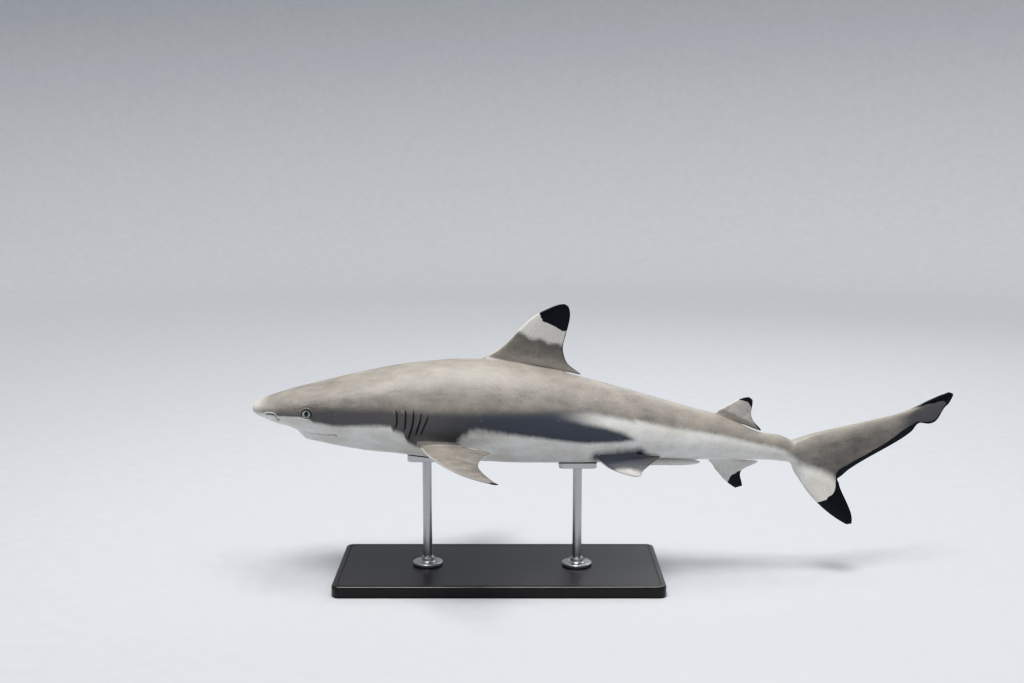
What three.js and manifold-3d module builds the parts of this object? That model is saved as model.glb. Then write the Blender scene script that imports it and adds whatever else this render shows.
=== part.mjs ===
// Blacktip reef shark, adult male, life size: a still model of a swimming animal on a two-rod display stand.
// Millimetres, +Z up. The head points to -X and the left side faces -Y. The floor is Z = 0.
// Along the animal, "along" is the distance behind the snout tip and "rise" the height above it.
import * as THREE from "three";
import { mergeVertices } from "three/addons/utils/BufferGeometryUtils.js";
import Module from "manifold-3d";

const wasm = await Module();
wasm.setup();

// ---- Driving dimensions ----
const OVERALL = 1224; // snout tip to the tip of the tail, measured level
const SNOUT_HEIGHT = 300; // snout tip above the floor
const SEAM = 0.3; // gap between neighbouring pieces
const BODY_SIDES = 26; // faces around the body
const FIN_SIDES = 16; // faces around a fin
const FIN_EDGE = 0.45; // half the thickness of a fin's edges

// ---- Lines of the body, as [along, value] ----
const BACK = [
  [0, -2.5], [2, 4.6], [9, 10], [20, 15], [40, 22], [70, 31.2], [100, 38.6], [150, 51.5], [200, 63],
  [250, 73], [300, 79.5], [350, 83.5], [400, 83.5], [450, 79], [500, 69.5], [562, 54], [650, 30.5], [750, 1],
  [800, -12.5], [840, -30], [875, -45], [911, -51], [929, -59.5], [946, -55.5], [962, -50.5], [990, -44.5],
  [1032, -37], [1090, -26.5], [1119, -20.5], [1148, -11.5], [1178, 1.5], [1207, 11.5], [1218, 14],
  [OVERALL, 11],
];
const BELLY = [
  [0, -2.5], [2, -9], [9, -13.5], [20, -17.5], [40, -25.5], [70, -34], [80, -42], [100, -54],
  [120, -58.5], [150, -65.5], [200, -73.5], [256, -79], [300, -84.5], [340, -88.5], [400, -92], [460, -95],
  [600, -95], [650, -92], [700, -88], [760, -90.5], [850, -92.5], [893, -94], [929, -100], [960, -109],
  [1010, -129.5], [1018, -125], [1032, -114], [1061, -97.6], [1090, -83], [1119, -68.6], [1148, -50.6],
  [1156, -41], [1163, -37.5], [1179, -39.5], [1191, -36], [1198, -28], [1208, -12.5], [1218, -3],
  [OVERALL, 8],
];
const HALF_WIDTH = [
  [0, 0], [2, 13], [9, 26], [20, 37], [40, 48.5], [70, 56.5], [100, 60.5], [150, 67], [200, 72], [250, 75.5],
  [300, 78], [380, 79.5], [450, 78], [520, 72.5], [600, 62], [680, 50], [760, 38.5], [830, 28.5], [893, 20.5],
  [929, 16.5], [960, 11.5], [1000, 8.5], [1050, 6.5], [1100, 5], [1150, 3.8], [1190, 2.8], [1217, 1.8],
  [OVERALL, 0.8],
];
// Height of the widest point, as a share of the way from belly to back.
const WIDEST = [
  [0, 0.5], [60, 0.56], [100, 0.6], [180, 0.57], [260, 0.5], [430, 0.47], [800, 0.48], [929, 0.5],
  [970, 0.66], [1020, 0.78], [1100, 0.82], [1190, 0.7], [OVERALL, 0.5],
];
// Fullness of the section above and below its widest point: 2 is an ellipse, more is squarer, 1 is a wedge.
const FULL_ABOVE = [[0, 2], [60, 2.1], [250, 2], [430, 1.9], [800, 1.95], [929, 2], [OVERALL, 2]];
const FULL_BELOW = [
  [0, 2], [60, 2.3], [100, 2.5], [250, 2.4], [430, 2.25], [800, 2.1], [929, 2], [970, 1.5], [1020, 1.15],
  [1150, 1.15], [OVERALL, 1.5],
];
// The bend of the spine to the right (+) or left (-), and the roll of the tail fin as it sweeps.
const SPINE = [
  [0, 9], [150, 4.5], [300, 1.5], [425, 0], [500, -1.2], [650, -3.5], [800, 0], [930, 10], [1080, 30],
  [OVERALL, 54],
];
const TAIL_ROLL = { slope: 0.15, from: 925, full: 1000, axisRise: -50 };

// ---- Fins: chords from root to tip, each [leading edge point, trailing edge point, thickness] ----
// A middle fin's points are [along, rise]; a paired fin's are [along, out to the side, rise].
const FIRST_DORSAL = [
  [[396, 80], [536, 59], 15], [[400, 87], [538, 64], 12.5], [[410, 93], [565, 56.8], 11],
  [[422, 100.5], [547, 71], 10], [[437, 112.5], [537, 86], 9], [[454.5, 130], [533.5, 102], 8],
  [[474, 149.5], [536.5, 118], 6.5], [[494.5, 164], [541.5, 136.5], 5], [[512, 172.5], [545, 152], 4],
  [[526, 177.8], [545.5, 165], 3], [[536, 178.8], [543, 174], 2],
];
const SECOND_DORSAL = [
  [[788, -14], [842, -33], 8], [[794, -9.5], [846, -31], 7], [[803, -4], [876, -44], 6],
  [[811, 0], [867.5, -30.5], 5.5], [[822, 6], [859.5, -18], 4.5], [[835, 12.5], [859, -6], 3.5],
  [[846, 16], [861, 5], 2.5], [[854, 16.8], [860.5, 12], 1.8],
];
const ANAL = [
  [[781, -86], [843, -88], 8], [[786, -93.5], [847, -93], 7], [[792.5, -100], [873, -95.5], 6],
  [[797.5, -108.5], [856, -105.5], 5], [[804, -116], [844.5, -112.5], 4.5],
  [[812.5, -126], [842, -121], 3.5], [[823, -135.5], [844.5, -130], 2.5], [[833, -142.5], [846, -139], 1.8],
];
const LOWER_TAIL_LOBE = [
  [[930, -95], [1006, -122], 12], [[934, -111], [1014.5, -134], 9.5], [[947, -131.5], [1016.5, -142], 8],
  [[961, -152], [1022.5, -156], 7], [[979, -171.5], [1030, -171.5], 6], [[998, -188], [1036, -186], 4.5],
  [[1016, -200.5], [1038.5, -197.5], 3], [[1027, -207], [1038, -206], 2],
];
const PECTORAL = [
  [[286, 50, -50], [352, 50, -44], 14], [[289, 64, -54.5], [356, 67, -49.5], 12],
  [[296, 80, -57.5], [407.5, 85, -60], 10], [[304, 100, -60.5], [401, 104, -62], 9],
  [[316, 124, -63.3], [394.5, 127, -64.5], 8], [[329, 146, -66], [391.8, 148, -66.5], 7],
  [[344, 168, -68.5], [394.5, 169, -68.5], 5.5], [[362, 191, -71], [402, 191, -71], 4.2],
  [[384, 212, -73.5], [411.5, 212, -73.5], 3], [[406, 229, -75.4], [420, 230, -75.4], 2.2],
  [[419, 237, -76.4], [425.5, 237.5, -76.4], 1.6],
];
const PELVIC = [
  [[590, 38, -72], [656, 34, -68], 8], [[592, 49, -81], [660, 44, -75], 7],
  [[600, 52, -88.5], [700, 36, -76], 6], [[613, 56, -95], [686, 44, -86.5], 5],
  [[630, 59.5, -101], [674, 52, -94], 4], [[646, 62, -105.3], [667, 58.5, -99], 3],
  [[657, 63.5, -106.8], [665, 62, -104], 2],
];
// The clasper is a round-ended rod behind each pelvic fin, as [along, out, rise, radius].
const CLASPER = [
  [640, 15, -81, 6.5], [660, 15.5, -84.5, 7.6], [690, 14.5, -88, 8], [720, 14, -89.3, 7.2],
  [745, 13.5, -89.6, 6], [760, 13.2, -89.8, 4.8], [768, 13, -90, 2.8],
];
const CLASPER_SIDES = 12;
const CLASPER_END = 2; // how far each end stands beyond the last ring

// ---- Head ----
const EYE = { along: 99, out: 51.5, rise: -1.5, radius: 10.5, stretch: 1.06, flatness: 0.92 };
const MOUTH = { front: 73, corner: 151, halfWidth: 61, frontRise: -36, cornerRise: -41, steps: 10 };
const NOSTRIL = { along: 38, out: 39, rise: -18.5, length: 24, width: 5, depth: 4.5, turn: 1.03 };
const GILL_SLIT = { width: 2.4, depth: 7, lean: 0.08 };
const GILL_SLITS = [
  { along: 252, top: 12, foot: -24 },
  { along: 266, top: 12, foot: -30 },
  { along: 279, top: 11, foot: -40 },
  { along: 290, top: 9, foot: -42 },
  { along: 300, top: 4, foot: -38 },
];

// ---- Where the body is divided, as distances behind the snout ----
const GILLS_START = 236;
const TRUNK_START = 318;
const TAIL_STALK_START = 706;
const TAIL_FIN_START = 930;
const CUT_REACH = 400; // how far the tools of a cut reach past the body

// ---- Stand ----
const STAND_BASE = { length: 560, width: 250, height: 20, corner: 14, bevel: 3, along: 425 };
const STAND_RODS = { front: 300, rear: 560, radius: 8, sides: 16 };
const ROD_FOOT = { radius: 26, height: 6, chamfer: 2, waist: 11, waistHeight: 14 };
const SADDLE = { length: 66, width: 44, height: 13, corner: 10, sunk: 5 };

// ---- Helpers ----
const clamp01 = (t) => Math.min(1, Math.max(0, t));
const smoothstep = (from, to, t) => {
  const k = clamp01((t - from) / (to - from));
  return k * k * (3 - 2 * k);
};

// A smooth curve through [x, y] points that never overshoots them.
function curve(points) {
  const x = points.map((p) => p[0]);
  const y = points.map((p) => p[1]);
  const slope = x.slice(1).map((_, i) => (y[i + 1] - y[i]) / (x[i + 1] - x[i]));
  const tangent = x.map((_, i) => {
    if (i === 0) return slope[0];
    if (i === slope.length) return slope[i - 1];
    const before = slope[i - 1];
    const after = slope[i];
    return before * after <= 0 ? 0 : (2 * before * after) / (before + after);
  });
  return (at) => {
    const t = Math.min(x[x.length - 1], Math.max(x[0], at));
    let i = 0;
    while (i < slope.length - 1 && t > x[i + 1]) i += 1;
    const span = x[i + 1] - x[i];
    const k = (t - x[i]) / span;
    return (
      y[i] * (1 + 2 * k) * (1 - k) ** 2 +
      tangent[i] * span * k * (1 - k) ** 2 +
      y[i + 1] * k * k * (3 - 2 * k) +
      tangent[i + 1] * span * k * k * (k - 1)
    );
  };
}

const line = {
  back: curve(BACK),
  belly: curve(BELLY),
  halfWidth: curve(HALF_WIDTH),
  widest: curve(WIDEST),
  fullAbove: curve(FULL_ABOVE),
  fullBelow: curve(FULL_BELOW),
  spine: curve(SPINE),
};

// A point of the straight animal, [along, out to the right, rise], placed in the bent pose.
function posed(along, out, rise) {
  const { slope, from, full, axisRise } = TAIL_ROLL;
  const roll = slope * smoothstep(from, full, along) * (rise - axisRise);
  return new THREE.Vector3(along - OVERALL / 2, out + line.spine(along) + roll, rise + SNOUT_HEIGHT);
}

// A point on the skin of the body. Turn 0 is the back, a quarter the left side and a half the belly.
function onBody(along, turn, swell = 0) {
  const back = line.back(along) + swell;
  const belly = line.belly(along) - swell;
  const middle = belly + (back - belly) * line.widest(along);
  const sine = Math.sin(turn * 2 * Math.PI);
  const cosine = Math.cos(turn * 2 * Math.PI);
  const power = 2 / (cosine >= 0 ? line.fullAbove(along) : line.fullBelow(along));
  const out = -Math.sign(sine) * (line.halfWidth(along) + swell) * Math.abs(sine) ** power;
  const rise = middle + (cosine >= 0 ? back - middle : belly - middle) * Math.abs(cosine) ** power;
  return posed(along, out, rise);
}

// A closed skin of rings between two poles: place(ring, turn) gives each vertex.
function loft(sides, rings, place) {
  const geometry = new THREE.SphereGeometry(1, sides, rings);
  const position = geometry.getAttribute("position");
  const uv = geometry.getAttribute("uv");
  for (let i = 0; i < position.count; i += 1) {
    const ring = Math.round((1 - uv.getY(i)) * rings);
    const side = Math.round(uv.getX(i) * sides) % sides;
    const point = place(ring, side / sides);
    position.setXYZ(i, point.x, point.y, point.z);
  }
  return geometry;
}

// The geometry as a manifold-3d solid with its faces pointing out.
function solid(geometry) {
  const bare = geometry.clone();
  bare.deleteAttribute("normal");
  bare.deleteAttribute("uv");
  const merged = mergeVertices(bare, 1e-4);
  const corners = [];
  for (let i = 0; i < merged.index.count; i += 3) {
    const [a, b, c] = [0, 1, 2].map((k) => merged.index.getX(i + k));
    if (a !== b && b !== c && a !== c) corners.push(a, b, c);
  }
  const make = (triVerts) =>
    new wasm.Manifold(
      new wasm.Mesh({
        numProp: 3,
        vertProperties: new Float32Array(merged.getAttribute("position").array),
        triVerts: new Uint32Array(triVerts),
      }),
    );
  const made = make(corners);
  return made.volume() > 0 ? made : make(corners.reverse());
}

function geometryOf(made) {
  const mesh = made.getMesh();
  const geometry = new THREE.BufferGeometry();
  geometry.setAttribute("position", new THREE.BufferAttribute(new Float32Array(mesh.vertProperties), 3));
  geometry.setIndex(new THREE.BufferAttribute(new Uint32Array(mesh.triVerts), 1));
  geometry.computeVertexNormals();
  return geometry;
}

function placed(geometry, x, y, z) {
  return solid(geometry.clone().translate(x, y, z));
}

// ---- Body ----
const BODY_RINGS = [
  0, 1.5, 6, 14, 26, 42, 58, 70, 80, 94, 115, 142, 172, 205, 245, 290, 340, 390, 440, 490, 545, 600, 650, 700,
  750, 800, 845, 890, 929, 946, 966, 990, 1010, 1018, 1034, 1062, 1092, 1122, 1146, 1156, 1164, 1184, 1196,
  1208, 1218, OVERALL,
];

function bodySolid(swell = 0) {
  const last = BODY_RINGS.length - 1;
  return solid(
    loft(BODY_SIDES, last, (ring, turn) => {
      if (ring === 0) return posed(-swell, 0, line.back(0));
      if (ring === last) return posed(OVERALL + swell, 0, line.back(OVERALL));
      return onBody(BODY_RINGS[ring], turn, swell);
    }),
  );
}

const body = bodySolid();
const bodyAndSeam = bodySolid(SEAM);

// The stretch of a solid between two distances behind the snout, with half a seam taken off at each cut.
function stretch(whole, from, to) {
  const slab = new THREE.BoxGeometry(to - from - SEAM, 2 * CUT_REACH, 2 * CUT_REACH);
  return whole.intersect(placed(slab, (from + to) / 2 - OVERALL / 2, 0, SNOUT_HEIGHT));
}

// ---- Fins ----
// Half the thickness of a fin section, as a share of its fullest, from leading edge (0) to trailing edge (1).
const finShape = (t) => 2.969 * Math.sqrt(t) - 1.26 * t - 3.516 * t ** 2 + 2.843 * t ** 3 - 1.036 * t ** 4;

function finSolid(chords, side = 1) {
  const inSpace = (p) => new THREE.Vector3(p[0], p.length > 2 ? side * p[1] : 0, p[p.length - 1]);
  const levels = chords.map(([lead, trail, thickness]) => {
    return { lead: inSpace(lead), trail: inSpace(trail), thickness };
  });
  const last = levels.length - 1;
  const middle = (i) => levels[i].lead.clone().lerp(levels[i].trail, 0.5);
  const across = levels.map((level, i) => {
    const rootToTip = middle(Math.min(i + 1, last)).sub(middle(Math.max(i - 1, 0)));
    return level.trail.clone().sub(level.lead).cross(rootToTip).normalize();
  });
  return solid(
    loft(FIN_SIDES, levels.length + 1, (ring, turn) => {
      const i = Math.min(last, Math.max(0, ring - 1));
      const { lead, trail, thickness } = levels[i];
      const atPole = ring !== i + 1;
      const chord = atPole ? 0.5 : (1 - Math.cos(turn * 2 * Math.PI)) / 2;
      const face = atPole ? 0 : Math.sign(0.5 - turn) * Math.sign(turn);
      const point = lead.clone().lerp(trail, chord);
      point.addScaledVector(across[i], face * (FIN_EDGE + (thickness / 2) * finShape(chord)));
      return posed(point.x, point.y, point.z);
    }),
  );
}

// ---- Claspers ----
function clasperSolid(side) {
  const last = CLASPER.length - 1;
  return solid(
    loft(CLASPER_SIDES, CLASPER.length + 1, (ring, turn) => {
      const i = Math.min(last, Math.max(0, ring - 1));
      const [along, out, rise, radius] = CLASPER[i];
      const reach = ring === i + 1 ? radius : 0;
      const beyond = (ring - i - 1) * CLASPER_END;
      const angle = turn * 2 * Math.PI;
      return posed(along + beyond, side * out + reach * Math.sin(angle), rise + reach * Math.cos(angle));
    }),
  );
}

// ---- Head details ----
function eyeSolid(side, swell = 0) {
  const centre = posed(EYE.along, side * EYE.out, EYE.rise);
  const ball = new THREE.SphereGeometry(EYE.radius + swell, 14, 10).rotateX(Math.PI / 2);
  return placed(ball.scale(EYE.stretch, EYE.flatness, 1), centre.x, centre.y, centre.z);
}

// The space under the line of the lips: an arch, narrow in front and as wide as the head at its corners.
function jawBlock(swell = 0) {
  const { front, corner, halfWidth, frontRise, cornerRise, steps } = MOUTH;
  const length = corner - front;
  const side = halfWidth + swell;
  const outline = [];
  for (let i = -steps; i <= steps; i += 1) {
    const k = i / steps;
    outline.push(new THREE.Vector2(length * k * k - swell, side * k));
  }
  outline.push(new THREE.Vector2(length + swell, side));
  outline.push(new THREE.Vector2(length + swell, -side));
  const arch = new THREE.Shape(outline);
  const block = new THREE.ExtrudeGeometry(arch, { depth: CUT_REACH, bevelEnabled: false });
  block.translate(0, 0, swell - CUT_REACH).rotateY(Math.atan2(frontRise - cornerRise, length));
  return placed(block, front - OVERALL / 2, line.spine(corner), frontRise + SNOUT_HEIGHT);
}

function nostrilCutter(side) {
  const { along, out, rise, length, width, depth, turn } = NOSTRIL;
  const centre = posed(along, side * out, rise);
  const hollow = new THREE.SphereGeometry(1, 10, 8).scale(width / 2, length / 2, depth);
  return placed(hollow.rotateZ(side * turn), centre.x, centre.y, centre.z);
}

function gillCutter(side, { along, top, foot }) {
  const { width, depth, lean } = GILL_SLIT;
  const centre = posed(along, side * line.halfWidth(along), (top + foot) / 2);
  const blade = new THREE.SphereGeometry(1, 6, 6).scale(width / 2, depth, (top - foot) / 2);
  return placed(blade.rotateY(lean), centre.x, centre.y, centre.z);
}

// ---- Stand ----
function roundedRectangle(length, width, corner) {
  const x = length / 2 - corner;
  const y = width / 2 - corner;
  const quarter = Math.PI / 2;
  const outline = new THREE.Shape();
  [[x, -y], [x, y], [-x, y], [-x, -y]].forEach(([centreX, centreY], i) => {
    outline.absarc(centreX, centreY, corner, (i - 1) * quarter, i * quarter);
  });
  return outline;
}

function baseSolid() {
  const { length, width, height, corner, bevel, along } = STAND_BASE;
  const outline = roundedRectangle(length - 2 * bevel, width - 2 * bevel, corner);
  const slab = new THREE.ExtrudeGeometry(outline, {
    depth: height - 2 * bevel, bevelThickness: bevel, bevelSize: bevel, bevelSegments: 1, curveSegments: 5,
  });
  return placed(slab, along - OVERALL / 2, 0, bevel);
}

const saddleFoot = (along) => line.belly(along) + SNOUT_HEIGHT + SADDLE.sunk - SADDLE.height;

function rodSolid(along) {
  const { radius, sides } = STAND_RODS;
  const foot = STAND_BASE.height + SEAM;
  const waistTop = foot + ROD_FOOT.waistHeight;
  const top = saddleFoot(along) - SEAM;
  const profile = [
    [0, foot], [ROD_FOOT.radius, foot], [ROD_FOOT.radius, foot + ROD_FOOT.height - ROD_FOOT.chamfer],
    [ROD_FOOT.radius - ROD_FOOT.chamfer, foot + ROD_FOOT.height], [ROD_FOOT.waist, foot + ROD_FOOT.height],
    [ROD_FOOT.waist, waistTop], [radius, waistTop + ROD_FOOT.waist - radius], [radius, top], [0, top],
  ];
  const rod = new THREE.LatheGeometry(profile.map(([r, z]) => new THREE.Vector2(r, z)), sides);
  return placed(rod.rotateX(Math.PI / 2), along - OVERALL / 2, line.spine(along), 0);
}

function saddleSolid(along) {
  const outline = roundedRectangle(SADDLE.length, SADDLE.width, SADDLE.corner);
  const pad = new THREE.ExtrudeGeometry(outline, {
    depth: SADDLE.height, bevelEnabled: false, curveSegments: 4,
  });
  return placed(pad, along - OVERALL / 2, line.spine(along), saddleFoot(along)).subtract(bodyAndSeam);
}

// ---- Materials ----
const finish = (color, roughness, metalness = 0) => {
  return new THREE.MeshStandardMaterial({ color, roughness, metalness });
};
const skinAbove = finish(0x8e857a, 0.5);
const skinFin = finish(0x82796f, 0.5);
const eyeFinish = finish(0x1a1c1c, 0.12);
const baseFinish = finish(0x26241f, 0.45);
const steel = finish(0xb4b6b8, 0.3, 1);

// ---- Pieces ----
const shark = new THREE.Group();

function add(name, made, material) {
  const mesh = new THREE.Mesh(geometryOf(made), material);
  mesh.name = name;
  shark.add(mesh);
}

const sides = { left: -1, right: 1 };

let head = stretch(body, -CUT_REACH, GILLS_START);
const jaw = head.intersect(jawBlock());
head = head.subtract(jawBlock(SEAM));
let gills = stretch(body, GILLS_START, TRUNK_START);
for (const side of Object.values(sides)) {
  head = head.subtract(eyeSolid(side, SEAM)).subtract(nostrilCutter(side));
  for (const slit of GILL_SLITS) gills = gills.subtract(gillCutter(side, slit));
}
add("head", head, skinAbove);
add("lower_jaw", jaw, skinAbove);
add("gills", gills, skinAbove);
add("trunk", stretch(body, TRUNK_START, TAIL_STALK_START), skinAbove);
add("tail_stalk", stretch(body, TAIL_STALK_START, TAIL_FIN_START), skinAbove);
add("tail_fin_upper", stretch(body, TAIL_FIN_START, OVERALL + CUT_REACH), skinFin);
add("tail_fin_lower", finSolid(LOWER_TAIL_LOBE).subtract(bodyAndSeam), skinFin);
add("dorsal_fin_first", finSolid(FIRST_DORSAL).subtract(bodyAndSeam), skinFin);
add("dorsal_fin_second", finSolid(SECOND_DORSAL).subtract(bodyAndSeam), skinFin);
add("anal_fin", finSolid(ANAL).subtract(bodyAndSeam), skinFin);

for (const [word, side] of Object.entries(sides)) {
  add("eye_" + word, eyeSolid(side), eyeFinish);
  add("pectoral_fin_" + word, finSolid(PECTORAL, side).subtract(bodyAndSeam), skinFin);
  add("pelvic_fin_" + word, finSolid(PELVIC, side).subtract(bodyAndSeam), skinFin);
  add("clasper_" + word, clasperSolid(side).subtract(bodyAndSeam), skinFin);
}

add("stand_base", baseSolid(), baseFinish);
for (const [word, along] of [["front", STAND_RODS.front], ["rear", STAND_RODS.rear]]) {
  add("stand_rod_" + word, rodSolid(along), steel);
  add("stand_saddle_" + word, saddleSolid(along), steel);
}

export default shark;
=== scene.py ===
import math

import bmesh
import bpy
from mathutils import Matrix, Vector, noise
from mathutils.geometry import intersect_point_line


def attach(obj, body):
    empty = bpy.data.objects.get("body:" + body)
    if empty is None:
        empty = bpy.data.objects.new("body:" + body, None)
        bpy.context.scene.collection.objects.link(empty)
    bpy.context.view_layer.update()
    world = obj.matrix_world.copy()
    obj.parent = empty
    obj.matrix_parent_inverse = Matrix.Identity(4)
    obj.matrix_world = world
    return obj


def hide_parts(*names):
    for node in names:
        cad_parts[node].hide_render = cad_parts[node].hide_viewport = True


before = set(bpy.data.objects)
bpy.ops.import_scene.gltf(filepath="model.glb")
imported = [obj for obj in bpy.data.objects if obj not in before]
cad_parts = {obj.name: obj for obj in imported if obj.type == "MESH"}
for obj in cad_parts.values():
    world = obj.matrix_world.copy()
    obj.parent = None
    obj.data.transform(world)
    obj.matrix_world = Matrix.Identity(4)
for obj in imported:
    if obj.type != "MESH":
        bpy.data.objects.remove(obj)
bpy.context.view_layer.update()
print("frame loaded:", len(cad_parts), "nodes")

millimetre = 0.001

view = {"place": (-0.16508, -2.4, 0.77856), "pitch": 8.64, "lens": 50, "sensor": 36}


def addObject(name, data):
    added = bpy.data.objects.new(name, data)
    bpy.context.scene.collection.objects.link(added)
    return added


camera = addObject("camera", bpy.data.cameras.new("camera"))
camera.data.lens = view["lens"]
camera.data.sensor_width = view["sensor"]
camera.location = view["place"]
camera.rotation_euler = (math.radians(90 - view["pitch"]), 0, 0)
bpy.context.scene.camera = camera

# The animal is modelled straight, in millimetres: along is the distance behind the snout's tip,
# out is to its right (+) or left (-), and rise is the height above the snout. The last step bends it.
body = {
    "length": 1224,
    "snoutHeight": 300,
    "slimmest": 0.5,  # least half width and height when a point is compared with the section
    "endGap": 0.1,  # how far the skin keeps from the very ends
    "tailRoll": {"slope": 0.15, "from": 925, "full": 1000, "axisRise": -50},
    "back": [
        (0, -2.5), (2, 4.6), (9, 10), (20, 15), (40, 22), (70, 31.2), (100, 38.6), (150, 51.5), (200, 63),
        (250, 73), (300, 79.5), (350, 83.5), (400, 83.5), (450, 79), (500, 69.5), (562, 54), (650, 30.5),
        (750, 1), (800, -12.5), (840, -30), (875, -45), (911, -51), (929, -59.5), (946, -55.5), (962, -50.5),
        (990, -44.5), (1032, -37), (1090, -26.5), (1119, -20.5), (1148, -11.5), (1178, 1.5), (1207, 11.5),
        (1218, 14), (1224, 11),
    ],
    "belly": [
        (0, -2.5), (2, -9), (9, -13.5), (20, -17.5), (40, -25.5), (70, -34), (80, -42), (100, -54),
        (120, -58.5), (150, -65.5), (200, -73.5), (256, -79), (300, -84.5), (340, -88.5), (400, -92),
        (460, -95), (600, -95), (650, -92), (700, -88), (760, -90.5), (850, -92.5), (893, -94), (929, -100),
        (960, -109), (1010, -129.5), (1018, -125), (1032, -114), (1061, -97.6), (1090, -83), (1119, -68.6),
        (1148, -50.6), (1156, -41), (1163, -37.5), (1179, -39.5), (1191, -36), (1198, -28), (1208, -12.5),
        (1218, -3), (1224, 8),
    ],
    "throat": [(70, -34), (100, -43.5), (150, -61.5), (200, -73.5)],  # the belly line without the jaw
    "halfWidth": [
        (0, 0), (2, 13), (9, 26), (20, 37), (40, 48.5), (70, 56.5), (100, 60.5), (150, 67), (200, 72),
        (250, 75.5), (300, 78), (380, 79.5), (450, 78), (520, 72.5), (600, 62), (680, 50), (760, 38.5),
        (830, 28.5), (893, 20.5), (929, 16.5), (960, 11.5), (1000, 8.5), (1050, 6.5), (1100, 5), (1150, 3.8),
        (1190, 2.8), (1217, 1.8), (1224, 0.8),
    ],
    "widest": [  # height of the widest point, as a share of the way from belly to back
        (0, 0.5), (60, 0.56), (100, 0.6), (180, 0.57), (260, 0.5), (430, 0.47), (800, 0.48), (929, 0.5),
        (970, 0.66), (1020, 0.78), (1100, 0.82), (1190, 0.7), (1224, 0.5),
    ],
    "fullAbove": [(0, 2), (60, 2.1), (250, 2), (430, 1.9), (800, 1.95), (929, 2), (1224, 2)],
    "fullBelow": [
        (0, 2), (60, 2.3), (100, 2.5), (250, 2.4), (430, 2.25), (800, 2.1), (929, 2), (970, 1.5),
        (1020, 1.15), (1150, 1.15), (1224, 1.5),
    ],
    "spine": [
        (0, 9), (150, 4.5), (300, 1.5), (425, 0), (500, -1.2), (650, -3.5), (800, 0), (930, 10), (1080, 30),
        (1224, 54),
    ],
}


def smoothStep(start, end, value):
    share = min(1, max(0, (value - start) / (end - start)))
    return share * share * (3 - 2 * share)


def curveThrough(points):  # a smooth curve through the points that never overshoots them
    x = [point[0] for point in points]
    y = [point[1] for point in points]
    slope = [(y[i + 1] - y[i]) / (x[i + 1] - x[i]) for i in range(len(x) - 1)]
    tangent = [slope[0]]
    for before, after in zip(slope, slope[1:]):
        tangent.append(0 if before * after <= 0 else 2 * before * after / (before + after))
    tangent.append(slope[-1])

    def valueAt(at):
        at = min(x[-1], max(x[0], at))
        i = 0
        while i < len(slope) - 1 and at > x[i + 1]:
            i += 1
        span = x[i + 1] - x[i]
        k = (at - x[i]) / span
        start = y[i] * (1 + 2 * k) + tangent[i] * span * k
        end = y[i + 1] * (3 - 2 * k) - tangent[i + 1] * span * (1 - k)
        return start * (1 - k) ** 2 + end * k * k

    return valueAt


bodyLine = {name: curveThrough(points) for name, points in body.items() if isinstance(points, list)}


def lowLine(along):  # the body's lower edge without the jaw, which is added later
    throat = body["throat"]
    inside = throat[0][0] < along < throat[-1][0]
    return bodyLine["throat" if inside else "belly"](along)


def sectionAt(along):  # the middle's height, half the width, and the (height, fullness) of both halves
    back, belly = bodyLine["back"](along), lowLine(along)
    middle = belly + (back - belly) * bodyLine["widest"](along)
    upper = (back - middle, bodyLine["fullAbove"](along))
    lower = (belly - middle, bodyLine["fullBelow"](along))
    return middle, bodyLine["halfWidth"](along), upper, lower


def skinPoint(along, turn):  # turn 0 is the back, a quarter the left side and a half the belly
    middle, halfWidth, upper, lower = sectionAt(along)
    sine, cosine = math.sin(turn * math.tau), math.cos(turn * math.tau)
    height, full = upper if cosine >= 0 else lower
    out = -math.copysign(halfWidth * abs(sine) ** (2 / full), sine)
    return Vector((along, out, middle + height * abs(cosine) ** (2 / full)))


def flankPoint(along, rise, side):  # the skin of one side at a given height
    middle, halfWidth, upper, lower = sectionAt(along)
    height, full = upper if rise >= middle else lower
    reach = min(1, (rise - middle) / height)
    return Vector((along, side * halfWidth * (1 - reach**full) ** (1 / full), rise))


def undersidePoint(along, out):  # the skin below at a given distance from the middle
    middle, halfWidth, _, (height, full) = sectionAt(along)
    reach = min(1, abs(out) / halfWidth)
    return Vector((along, out, middle + height * (1 - reach**full) ** (1 / full)))


def standsProud(point):  # above 1 outside the body's section, below 1 inside it
    middle, halfWidth, upper, lower = sectionAt(point.x)
    height, full = upper if point.z >= middle else lower
    tall = abs(point.z - middle) / max(body["slimmest"], abs(height))
    return (tall**full + abs(point.y / max(body["slimmest"], halfWidth)) ** full) ** (1 / full)


def bent(point):  # from the straight animal in millimetres to its pose in metres
    roll = body["tailRoll"]
    sweep = bodyLine["spine"](point.x)
    sweep += roll["slope"] * smoothStep(roll["from"], roll["full"], point.x) * (point.z - roll["axisRise"])
    place = (point.x - body["length"] / 2, point.y + sweep, point.z + body["snoutHeight"])
    return Vector(place) * millimetre


cage = {
    # the angle of each column of points, in degrees from the back down one side
    "angles": (0, 11, 22.5, 34, 45, 56, 67.5, 79, 90, 101, 111, 121, 131, 141, 153, 170, 180),
    # lengths of body as (from, to, faces, whether the faces narrow towards both ends, as under a fin)
    "lengths": (
        (0.3, 3, 2, False), (3, 15, 3, False), (15, 284, 34, False), (284, 354, 6, True),
        (354, 391, 3, False), (391, 541, 8, True), (541, 587, 3, False), (587, 660, 6, True),
        (660, 783, 7, False), (783, 847, 7, True), (847, 929, 6, False), (929, 1012, 8, True),
        (1012, 1040, 4, False), (1040, 1144, 8, False), (1144, 1180, 6, False), (1180, 1224, 6, False),
    ),
    "narrowing": 0.6,  # how strongly those faces narrow
    "rounds": 6,  # how often the points are moved to bring the smooth surface to the drawn one
    "pull": 0.9,  # the share of what is missing that each round makes up
}
around = 2 * (len(cage["angles"]) - 1)


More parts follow.
